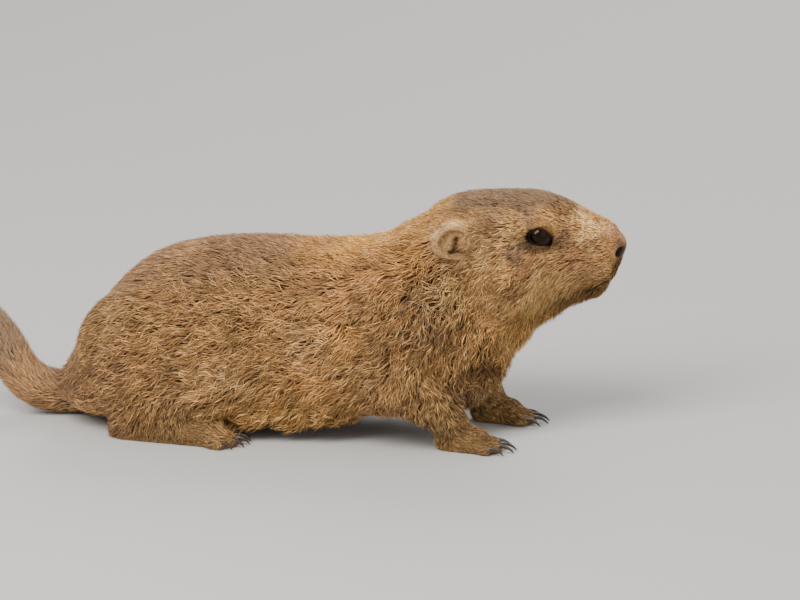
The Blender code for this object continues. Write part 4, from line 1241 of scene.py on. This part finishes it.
def rooted(faces, per_cm2):
    """Random roots, so many to a square centimetre: points, normals, depths and UVs."""
    share = face_area * faces
    count = int(share.sum() * 1e4 * per_cm2)
    chosen = random.choice(len(share), count, p=share / share.sum())
    first, second = random.random(count), random.random(count)
    flip = first + second > 1
    first, second = np.where(flip, 1 - first, first), np.where(flip, 1 - second, second)
    weights = np.stack([1 - first - second, first, second], axis=1)[:, :, None]
    points = (corners[chosen] * weights).sum(axis=1)
    normals = unit((coat_normals[triangles[chosen]] * weights).sum(axis=1))
    depths = (depth[triangles[chosen]] * weights[:, :, 0]).sum(axis=1)
    uvs = (skin_uv[chosen] * weights).sum(axis=1)
    return points, normals, depths, uvs


print("the coat's outside is", round(face_area.sum() * 1e4), "square cm")

# %% [markdown]
# A tuft's middle line goes station by station: each step follows the coat's outside, found anew
# with the tree, so a long tuft bends with the body. Random turns are shared within a clump,
# which is what makes locks. The order in which random numbers are drawn is part of the looks.

# %% Bend tufts along the coat
LONG = (0.0, 0.36, 0.72, 1.0)
SHORT = (0.0, 0.45, 1.0)
FLOOR_GAP = 0.4 * MM


def laid_along(points, ways, lengths):
    """Each point moved on along the coat's outside, with the way turned to follow it."""
    moved = points + ways * lengths[:, None]
    places = np.empty_like(moved)
    normals = np.empty_like(moved)
    for i, point in enumerate(moved.tolist()):
        places[i], normals[i] = coat_tree.find_nearest(point)[:2]
    ways = unit(ways - (ways * normals).sum(axis=1)[:, None] * normals)
    return places, normals, ways


def clumps(points, per_clump):
    """For each root, the way to the middle of its clump, and the clump's number."""
    count = max(1, len(points) // per_clump)
    middles = points[random.choice(len(points), count, replace=False)]
    tree = KDTree(count)
    for i, point in enumerate(middles.tolist()):
        tree.insert(point, i)
    tree.balance()
    nearest = np.array([tree.find(point)[1] for point in points.tolist()])
    return middles[nearest] - points, nearest


def tuft_paths(points, normals, depths, stations, style):
    """The middle line of each tuft: for each station its points, normals and sideways ways."""
    where = straightened(points)
    length, width, stand = (coat_at(where)[:, 1:4] * MM).T
    tousle = coat_at(where)[:, 4]
    count = len(points)
    length = length * random.uniform(0.65, 1.3, count) * style["long"]
    width = width * random.uniform(0.7, 1.3, count) * style["wide"]
    to_clump, clump = clumps(points, style["per_clump"])
    clump_turn = random.normal(0, style["tousle"], clump.max() + 1)[clump]
    turn = (tousle * (clump_turn + random.normal(0, style["sway"], count)))[:, None]
    ways = lie_at(where, normals)
    across = np.cross(normals, ways)
    ways = unit(ways * np.cos(turn) + across * np.sin(turn))
    phase = random.uniform(0, 2 * math.pi, clump.max() + 1)[clump] + random.normal(0, 0.7, count)
    lifted = random.random(count) ** 2 * style["lift"] * depths * MM + stand
    at, normal, way = points, normals, ways
    centres, ups, sides = [], [], []
    for step, station in enumerate(stations):
        if step:
            at, normal, way = laid_along(at, way, length * (station - stations[step - 1]))
        height = lifted * station**2 - depths * MM * (1.1 - 1.1 * station**0.6)
        side = np.cross(normal, way)
        bend = style["curl"] * length * np.sin(phase + station * 5.0) * station
        centre = at + normal * height[:, None] + side * bend[:, None]
        centre = centre + to_clump * (tousle * style["pull"] * station**1.5)[:, None]
        centre[:, 2] = np.maximum(centre[:, 2], FLOOR_GAP)
        centres.append(centre)
        ups.append(normal)
        sides.append(side)
    return where, clump, width, centres, ups, sides


print("stations of a tuft:", LONG, "or", SHORT)

# %% [markdown]
# Each tuft is dark at its root, where light is scarce, and about half of them have a pale tip.
# Clumps and single tufts differ a little in tone, more so where the coat is tousled.

# %% Colour and shape the tufts
def tuft_tones(where, clump, stations, style):
    """A colour for each point of each tuft: dark at the root, pale at most of the tips."""
    count = len(where)
    body, tips = markings_at(where, BODY), markings_at(where, TIP)
    wild = 0.7 + 0.55 * coat_at(where)[:, 4]
    fleck = 1 + wild * random.normal(0, style["clump_fleck"], clump.max() + 1)[clump]
    fleck = fleck * (1 + wild * random.normal(0, style["fleck"], count))
    fleck = np.clip(fleck, 0.5, 1.6)[:, None]
    pale = np.where(random.random(count) < style["pale"], random.uniform(0.55, 1.0, count), 0.12)
    tones = []
    for station in stations[:-1]:
        blend = (pale * smooth_step(station, 0.25, 0.9))[:, None]
        lit = style["root"] + (1.16 - style["root"]) * station
        tones += [(body * (1 - blend) + tips * blend) * lit * fleck] * 3
    tones.append((body * (1 - pale[:, None]) + tips * pale[:, None]) * fleck * 1.12)
    return np.stack(tones, axis=1).reshape(-1, 3)


def tuft_faces(stations):
    """The triangles of one tuft: its base, its sides and its point."""
    shape = [(0, 1, 2)]
    last = 3 * (len(stations) - 2)
    for start in range(0, last, 3):
        for k in range(3):
            a, b = start + k, start + (k + 1) % 3
            shape += [(a, a + 3, b), (b, a + 3, b + 3)]
    shape += [(last + k, last + 3, last + (k + 1) % 3) for k in range(3)]
    return np.array(shape)


def mesh_of(name, verts, faces):
    """A mesh of triangles from arrays, without a Python loop."""
    mesh = bpy.data.meshes.new(name)
    mesh.vertices.add(len(verts))
    mesh.loops.add(len(faces) * 3)
    mesh.polygons.add(len(faces))
    mesh.vertices.foreach_set("co", verts.astype(np.float32).ravel())
    mesh.loops.foreach_set("vertex_index", faces.astype(np.int32).ravel())
    mesh.polygons.foreach_set("loop_start", np.arange(0, len(faces) * 3, 3, dtype=np.int32))
    mesh.polygons.foreach_set("use_smooth", np.ones(len(faces), bool))
    mesh.update(calc_edges=True)
    return mesh


print("triangles of a tuft:", len(tuft_faces(LONG)), "or", len(tuft_faces(SHORT)))

# %% [markdown]
# A style holds what makes one region differ from another, as shares of the usual. A region names
# only what it changes.

# %% Grow one piece of coat
BAKE_PATCH = 0.003  # the size of a tuft's own patch of the bake map
STYLE = {
    "long": 1.0,
    "wide": 1.0,
    "lift": 0.35,
    "per_clump": 12,
    "pull": 0.5,
    "sway": 0.2,
    "tousle": 0.3,
    "curl": 0.12,
    "pale": 0.55,
    "fleck": 0.18,
    "clump_fleck": 0.13,
    "root": 0.5,
}


def grow(name, faces, per_cm2, slot, stations=LONG, **style):
    """One piece of coat, from roots on some faces, in a style that differs from the usual."""
    style = {**STYLE, **style}
    points, normals, depths, uvs = rooted(faces, per_cm2)
    where, clump, width, centres, ups, sides = tuft_paths(
        points, normals, depths, stations, style
    )
    rings = []
    for step, station in enumerate(stations[:-1]):
        wide = width * (0.75 + 0.5 * station if station < 0.5 else 1.25 - 0.75 * station)
        half = sides[step] * (wide / 2)[:, None]
        over = ups[step] * (wide * 0.45)[:, None]
        centre = centres[step]
        rings.append(np.stack([centre - half, centre + half, centre + over], axis=1))
    verts = np.concatenate([*rings, centres[-1][:, None]], axis=1)
    count, each = verts.shape[:2]
    shape = tuft_faces(stations)
    faces_all = (shape[None] + each * np.arange(count)[:, None, None]).reshape(-1, 3)
    mesh = mesh_of(name, verts.reshape(-1, 3), faces_all)
    add_attribute(mesh, "tone", tuft_tones(where, clump, stations, style))
    # Each tuft has a small patch of the bake map, at its root's place.
    spot = [((k - 1) * 0.4, station - 0.5) for station in stations[:-1] for k in range(3)]
    spot = np.concatenate([spot, [(0, 0.5)]]) * BAKE_PATCH
    patch = np.clip(uvs[:, None, :] + spot[None], 0, 1)
    layer = mesh.uv_layers.new(name="OFBake")
    layer.data.foreach_set("uv", patch.reshape(-1, 2)[faces_all.ravel()].astype(np.float32).ravel())
    obj = in_scene(name, mesh)
    mesh.materials.append(fur)
    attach(obj, "root")
    print(name, count, "tufts", len(faces_all), "triangles")


print("a style says:", ", ".join(STYLE))

# %% [markdown]
# ## The hair's material
# Hair is keratin: smooth, so it has a soft sheen along its length, and coloured by the same
# brown pigments all over. The tone is read from the tuft's points, a fine noise keeps
# neighbouring tufts apart, and a little sheen lightens the edges of the coat against the light.

# %% Make the fur's material
MOTTLE = 2.5 * MM
# Dry, weathered hair: dull, with a faint pale edge where the light comes from behind.
fur, tree, shader = new_material(
    "weathered_marmot_hair",
    Roughness=0.6,
    Specular_IOR_Level=0.3,
    Sheen_Weight=0.05,
    Sheen_Roughness=0.5,
)
where = add_node(tree, "ShaderNodeTexCoord")
speckle = add_node(
    tree,
    "ShaderNodeTexNoise",
    links={"Vector": where.outputs["Object"]},
    Scale=1 / MOTTLE,
    Detail=2.0,
)
tree.links.new(mottled(tree, speckle.outputs["Fac"], 0.86, 1.14), shader.inputs["Base Color"])
print("material:", fur.name)

# %% [markdown]
# ## The regions of the coat
# Each region is a piece of its own, under 200,000 triangles. Short hair needs many small tufts
# with few faces, and long hair fewer and longer ones.

# %% Sort the faces into regions
TAIL_START = -167
FACE_START = 128
PAW_TOP = 17
BELLY_TOP = 14
HAIR_PAST_LIDS = 1.12  # as a share of the opening between the lids
EYE_REACH = 14  # further from the ball than this, a face isn't by the eye
ahead, aside, upward = to_one_side(middle_places).T
is_ear = ear_share(middle_places) > 0.15
is_tail = ahead < TAIL_START
fore = (ahead > 78) & (upward < PAW_TOP) & (aside > 14)
hind = (ahead > -128) & (ahead < -38) & (upward < PAW_TOP) & (aside > 26)
is_foot = (fore | hind) & ~is_tail
is_head = (past_seam(middle_places) > 0) & ~is_ear & ~is_foot
is_face = is_head & (ahead > FACE_START) & (upward > MUZZLE_BOTTOM)
is_body = ~(is_ear | is_tail | is_foot | is_head)


def bare_here(places):
    """Where no hair grows on the muzzle: its leather, the nostrils and the slit of the mouth."""
    bare = nose_share(places) > 0.5
    bare |= (mouth_gap(places) < 0.6) & (places[:, 0] > 149)
    bare |= nostril_gap(places) < 1.15
    return bare


open_face = ~bare_here(middle_places)
for eye in EYES.values():
    from_lids, from_ball = eye.inside(corners.mean(axis=1))
    past_lids = (from_lids > HAIR_PAST_LIDS) & (from_ball > EYE_RADIUS / MM + 0.2)
    open_face &= (from_ball > EYE_REACH) | past_lids
REGIONS = {"ears": is_ear, "tail": is_tail, "feet": is_foot, "head": is_head, "body": is_body}
print({name: round(face_area[region].sum() * 1e4) for name, region in REGIONS.items()}, "square cm")

# %% [markdown]
# The head and the body get two layers, as on the animal: long guard hairs, and a shorter, darker
# down under them that hides the skin. The body is cut into five pieces along its length, so that
# each stays small enough. The numbers are tufts to a square centimetre.

# %% Grow every region
tousled = {"tousle": 0.34, "sway": 0.22}
faced = {"tousle": 0.16, "sway": 0.2, "curl": 0.03, "pull": 0.25, "root": 0.55}
grow("coat_face", is_face & open_face, 165, "face_fur", SHORT, **faced)
by_lids = is_face & open_face & (eye_near(middle_places) > 0.02)
grow("coat_lids", by_lids, 130, "face_fur", SHORT, wide=0.7, **faced)
grow("coat_head", is_head & ~is_face & open_face, 83, "face_fur", wide=0.85, **tousled)
grow("coat_head_down", is_head & ~is_face & open_face, 66, "face_fur", SHORT, long=0.7, pale=0.35)
smooth = {"sway": 0.25, "tousle": 0.1, "curl": 0.04, "pull": 0}
grow("coat_ears", is_ear, 230, "ear_fur", SHORT, root=0.7, **smooth)
grow("coat_feet", is_foot & (upward > 1.5), 105, "foot_fur", SHORT, sway=0.2, curl=0.03)
grow("coat_tail", is_tail, 110, "tail_fur", SHORT, lift=0.5, sway=0.3, tousle=0.2, pull=0.3, pale=0.4)
BODY_CUTS = (-170, -105, -50, 5, 55, 200)
under = upward < BELLY_TOP
for number, (start, end) in enumerate(zip(BODY_CUTS, BODY_CUTS[1:])):
    part = is_body & (ahead >= start) & (ahead < end) & ~under
    grow(f"coat_body_{number + 1}", part, 34.5, "body_fur", long=0.95, wide=0.88, **tousled)
    down = {"long": 0.8, "wide": 0.95, "pale": 0.35, "lift": 0.1}
    grow(f"coat_down_{number + 1}", part, 33, "body_fur", SHORT, **down)
grow("coat_belly", is_body & under, 26, "body_fur", wide=1.35, **tousled)
growths = [obj for obj in bpy.data.objects if obj.name.startswith("coat_")]
print("coat:", sum(len(obj.data.polygons) for obj in growths), "triangles")

# %% [markdown]
# ## The eyes
# A marmot's eye is a wet, nearly black ball. What makes it look alive is its gloss and the dark
# rim of the lids. The ball is a UV sphere whose pole looks out between the lids, with the clear
# front raised a little, and the iris is only just lighter than the pupil.

# %% Make the eye's material
# how far from the front, as a share of half a turn, and the colour there
IRIS = ((0.0, "#050403"), (0.24, "#060403"), (0.30, "#2C170B"), (0.50, "#1E1109"), (0.62, "#0A0605"))
# A wet cornea over a nearly black iris: one small warm highlight on a dark ball.
wet, tree, shader = new_material(
    "wet_dark_eye",
    Roughness=0.08,
    Specular_IOR_Level=0.36,
    Specular_Tint=(*colour("#E2B498"), 1),
)
ring = add_node(tree, "ShaderNodeAttribute", {"attribute_name": "from_front"})
ramp = add_node(tree, "ShaderNodeValToRGB", links={"Fac": ring.outputs["Fac"]})
stops = ramp.color_ramp.elements
for number, (position, tone) in enumerate(IRIS):
    stop = stops[number] if number < len(stops) else stops.new(position)
    stop.position = position
    stop.color = (*colour(tone), 1)
tree.links.new(ramp.outputs["Color"], shader.inputs["Base Color"])
print("material:", wet.name)

# %% [markdown]
# A new sphere's pole points up, so each ball is turned until it points out of its own socket. The
# angle from there drives both the raised front and, as an attribute, the rings of colour.

# %% Set the eyeballs
CORNEA_RISE = 0.35 * MM
for side in SIDES:
    bpy.ops.object.select_all(action="DESELECT")
    bpy.ops.mesh.primitive_uv_sphere_add(segments=48, ring_count=32, radius=EYE_RADIUS)
    ball = bpy.context.object
    ball.name = f"eyeball_{side}"
    eye = EYES[side]
    turn = eye.out.to_track_quat("Z", "Y").to_matrix().to_4x4()
    ball.data.transform(Matrix.Translation(eye.middle) @ turn)
    points = points_of(ball.data) - np.array(eye.middle)
    out = unit(points)
    front = np.arccos(np.clip(out @ np.array(eye.out), -1, 1)) / math.pi
    rise = CORNEA_RISE * fade(front, 0.10, 0.26)
    set_points(ball.data, points + out * rise[:, None] + np.array(eye.middle))
    add_attribute(ball.data, "from_front", front)
    ball.data.materials.append(wet)
    bpy.ops.object.shade_smooth()
    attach(ball, "root")
    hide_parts(f"eye_{side}")
print("eye radius", round(EYE_RADIUS / MM, 1), "mm")

# %% [markdown]
# ## The lids
# The lids are a soft ring of skin round the ball: a thin dark edge that touches it, a rounded
# rim, and a skirt that runs out under the hair of the face. The ring is an almond, with a corner
# that points down to the nose. Each of its rings is the same almond at another size and height,
# so the piece is a loft.

# %% Shape the lids
# size of the almond, its height over the ball or, past the rim, over the coat, in mm, and how
# dark it is
LID_RINGS = (
    (0.93, 0.02, 1.0),
    (0.98, 0.3, 1.0),
    (1.04, 0.45, 1.0),
    (1.1, 0.45, 1.0),
    (1.22, -0.4, 0.85),
    (1.5, -0.9, 0.45),
    (2.0, -2.0, 0.0),
)
LID_SKIRT = 4  # the first ring that follows the coat
LID_SIDES = 40
LID_CLEAR = 0.4 * MM  # how far the skirt stays off the ball
BALL_EDGE = 0.98  # the share of the ball's radius up to which a ring lies on it
LID_RIM = "#1E120A"
CREASE = 0.8 * MM  # finer on the animal, and drawn coarse enough to show
# Bare, dark, finely creased skin: dull beside the wet ball, so that the ball stands out.
lid_skin, tree, shader = new_material("dark_lid_skin", Roughness=0.8, Specular_IOR_Level=0.1)
tone = add_node(tree, "ShaderNodeAttribute", {"attribute_name": "tone"})
where = add_node(tree, "ShaderNodeTexCoord")
creases = add_node(
    tree,
    "ShaderNodeTexNoise",
    links={"Vector": where.outputs["Object"]},
    Scale=1 / CREASE,
    Detail=3.0,
)
bump = add_node(
    tree, "ShaderNodeBump", links={"Height": creases.outputs["Fac"]}, Strength=0.4, Distance=0.3 * MM
)
tree.links.new(tone.outputs["Color"], shader.inputs["Base Color"])
tree.links.new(bump.outputs["Normal"], shader.inputs["Normal"])
print("material:", lid_skin.name)

# %% [markdown]
# On the ball, a ring's points lie at the ball's radius and the ring's own height. Past the rim,
# a ray finds the coat's outside at each point, so the skirt meets the hair of the face all
# round, and it never dips into the ball.

# %% Loft the lids
def ring_faces(start, rings, sides):
    """Faces with four corners between rings of points, numbered from a start."""
    faces = []
    for ring in range(rings - 1):
        for k in range(sides):
            a, b = start + ring * sides + k, start + ring * sides + (k + 1) % sides
            faces.append((a, b, b + sides, a + sides))
    return faces


for side, eye in EYES.items():
    verts, darks = [], []
    for number, (size, height, dark) in enumerate(LID_RINGS):
        for k in range(LID_SIDES):
            angle = 2 * math.pi * k / LID_SIDES
            cos, sin = math.cos(angle), math.sin(angle)
            along = size * cos * (LID_REACH[0] if cos > 0 else LID_REACH[1])
            rise = size * sin * (LID_REACH[2] if sin > 0 else LID_REACH[3])
            rise -= LID_DROP * min(max(size * cos, 0), 1) ** 2
            flat = (eye.ahead * (along + LID_SHIFT[0]) + eye.up * (rise + LID_SHIFT[1])) * MM
            reach = min(flat.length, EYE_RADIUS * BALL_EDGE)
            deep = math.sqrt(EYE_RADIUS**2 - reach**2) if flat.length < EYE_RADIUS else 0
            point = (flat.normalized() * reach + eye.out * deep).normalized()
            point *= EYE_RADIUS + height * MM
            point += flat.normalized() * max(flat.length - EYE_RADIUS * BALL_EDGE, 0)
            if number >= LID_SKIRT:
                on_coat = coat_tree.ray_cast(eye.middle + flat, eye.out)[3] or 0
                point = flat + eye.out * max(on_coat + height * MM, deep + LID_CLEAR if deep else 0)
            verts.append(eye.middle + point)
            darks.append(dark)
    mesh = bpy.data.meshes.new(f"lids_{side}")
    mesh.from_pydata([v[:] for v in verts], [], ring_faces(0, len(LID_RINGS), LID_SIDES))
    add_attribute(mesh, "dark", np.array(darks))
    lids = in_scene(f"lids_{side}", mesh)
    edit(lids, bpy.ops.mesh.normals_make_consistent, inside=False)
    modify(lids, "SUBSURF", levels=2, render_levels=2)
    dark = np.empty(len(lids.data.vertices), np.float32)
    lids.data.attributes["dark"].data.foreach_get("value", dark)
    lid_tone = markings_at(straightened(points_of(lids.data)), BODY) * 0.7
    add_attribute(lids.data, "tone", mixed_in(lid_tone, LID_RIM, dark.astype(float)))
    lids.data.materials.append(lid_skin)
    bpy.ops.object.shade_smooth()
    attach(lids, "root")
print("lids with", LID_SIDES, "points to a ring")

# %% [markdown]
# ## Whiskers
# Whiskers are single stiff hairs, thicker than any other, in rows on the pad of the lip, with a
# few over the eye. Each is a thin tapering tube on a gentle arc that sweeps back and droops at
# its end.

# %% Make a bent, tapering tube
def strand(root, way, droop, length, radius, steps=9, sides=4):
    """The points of a thin tapering tube that starts out one way and bends to another."""
    rings = []
    at = Vector(root)
    for step in range(steps):
        share = step / (steps - 1)
        heading = (way * (1 - share) + droop * share).normalized()
        if step:
            at = at + heading * length / (steps - 1)
        across = heading.cross(Vector((0, 0, 1))).normalized()
        over = across.cross(heading)
        thick = radius * (1 - 0.85 * share)
        rings.append(
            [at + (across * math.cos(a) + over * math.sin(a)) * thick
             for a in (2 * math.pi * k / sides for k in range(sides))]
        )
    return rings


def tube_mesh(strands):
    """One mesh from the rings of many tubes, closed at both ends."""
    verts, faces = [], []
    for rings in strands:
        start, sides = len(verts), len(rings[0])
        verts += [v[:] for ring in rings for v in ring]
        faces += ring_faces(start, len(rings), sides)
        faces.append(tuple(start + k for k in reversed(range(sides))))
        faces.append(tuple(start + (len(rings) - 1) * sides + k for k in range(sides)))
    mesh = bpy.data.meshes.new("tubes")
    mesh.from_pydata(verts, [], faces)
    return mesh


print("faces of a short tube:", len(ring_faces(0, 9, 4)) + 2)

# %% [markdown]
# They stand in three rows on the pad of the lip, with a few mm between one and the next, and two
# more stand over each eye. Their lengths and droop differ a little, as on the animal.

# %% Set the whiskers
WHISKER_ROWS = ((178, 115, 4), (174, 111, 5), (172, 107, 4))  # ahead, up and how many
WHISKER_STEP = 3.4
PAD_ASIDE, BROW_ASIDE = 16, 18  # how far out the search for a root starts
WHISKER_RADIUS, BROW_RADIUS = 0.16 * MM, 0.13 * MM
BAND = 9 * MM  # the length of a paler stretch
strands = []
for side, sign in SIDES.items():
    for ahead_at, height_at, number in WHISKER_ROWS:
        for k in range(number):
            x = ahead_at - WHISKER_STEP * k + random.uniform(-0.5, 0.5)
            z = height_at + 0.5 * k + random.uniform(-0.5, 0.5)
            root = Vector(coat_tree.find_nearest(on_head(x, sign * PAD_ASIDE, z))[0])
            root -= head_way(0, sign, 0) * 1.5 * MM
            way = head_way(-0.15 - 0.1 * k, sign, 0.12)
            droop = head_way(-0.9, sign * 0.7, -0.35 + random.uniform(-0.15, 0.15))
            strands.append(strand(root, way, droop, random.uniform(20, 33) * MM, WHISKER_RADIUS))
    for k in range(2):
        root = Vector(coat_tree.find_nearest(on_head(143 - 4 * k, sign * BROW_ASIDE, 148))[0])
        way = head_way(-0.1, sign * 0.8, 0.7)
        strands.append(strand(root, way, head_way(-0.9, sign * 0.5, 0.3), 17 * MM, BROW_RADIUS))
mesh = tube_mesh(strands)
whiskers = in_scene("whiskers", mesh)
# Smooth stiff hair, dark with paler stretches: a thin shine runs along each one.
bristle, tree, shader = new_material("dark_whisker_hair", Roughness=0.35)
where = add_node(tree, "ShaderNodeTexCoord")
bands = add_node(
    tree, "ShaderNodeTexNoise", links={"Vector": where.outputs["Object"]}, Scale=1 / BAND, Detail=1.0
)
ramp = add_node(tree, "ShaderNodeValToRGB", links={"Fac": bands.outputs["Fac"]})
ramp.color_ramp.elements[0].color = (*colour("#2A1D14"), 1)
ramp.color_ramp.elements[1].color = (*colour("#6A543E"), 1)
tree.links.new(ramp.outputs["Color"], shader.inputs["Base Color"])
mesh.materials.append(bristle)
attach(whiskers, "root")
print(len(strands), "whiskers")

# %% [markdown]
# ## The claws
# The solids' claws have the right size and curve but only a few sides. Copies of them are
# merged and subdivided, which rounds them without changing where they are. Claw horn is dark
# and fibrous along its length.

# %% Round the claws
CLAWS = sorted(n for n in frame["nodes"] if "claw" in n)
FIBRE = 0.5 * MM  # finer on the animal, and drawn coarse enough to show
rounded = [merged_copy(node, "claw") for node in CLAWS]
only(*rounded)
bpy.ops.object.join()
claws = bpy.context.object
claws.name = "claws"
modify(claws, "SUBSURF", levels=2, render_levels=2)
# Dark worn horn: a dull shine over fine streaks that run along each claw.
horn, tree, shader = new_material("dark_claw_horn", Roughness=0.34)
where = add_node(tree, "ShaderNodeTexCoord")
fibre_map = add_node(
    tree, "ShaderNodeMapping", links={"Vector": where.outputs["Object"]}, Scale=(0.12, 1, 1)
)
fibres = add_node(
    tree,
    "ShaderNodeTexNoise",
    links={"Vector": fibre_map.outputs["Vector"]},
    Scale=1 / FIBRE,
    Detail=2.0,
)
ramp = add_node(tree, "ShaderNodeValToRGB", links={"Fac": fibres.outputs["Fac"]})
ramp.color_ramp.elements[0].color = (*colour("#1E1814"), 1)
ramp.color_ramp.elements[0].position = 0.3
ramp.color_ramp.elements[1].color = (*colour("#4A3C30"), 1)
ramp.color_ramp.elements[1].position = 0.75
tree.links.new(ramp.outputs["Color"], shader.inputs["Base Color"])
bump = add_node(
    tree, "ShaderNodeBump", links={"Height": fibres.outputs["Fac"]}, Strength=0.3, Distance=0.2 * MM
)
tree.links.new(bump.outputs["Normal"], shader.inputs["Normal"])
claws.data.materials.clear()
claws.data.materials.append(horn)
only(claws)
bpy.ops.object.shade_smooth()
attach(claws, "root")
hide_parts(*CLAWS)
print(len(CLAWS), "claws")

# %% [markdown]
# ## Sizes and the end
# The coat may stand a little proud of the solids, and no more. The box round all that is
# drawn is printed.

# %% Write the sizes and finish
low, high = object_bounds()
print("visual box in mm:", [round(v / MM) for v in high - low])
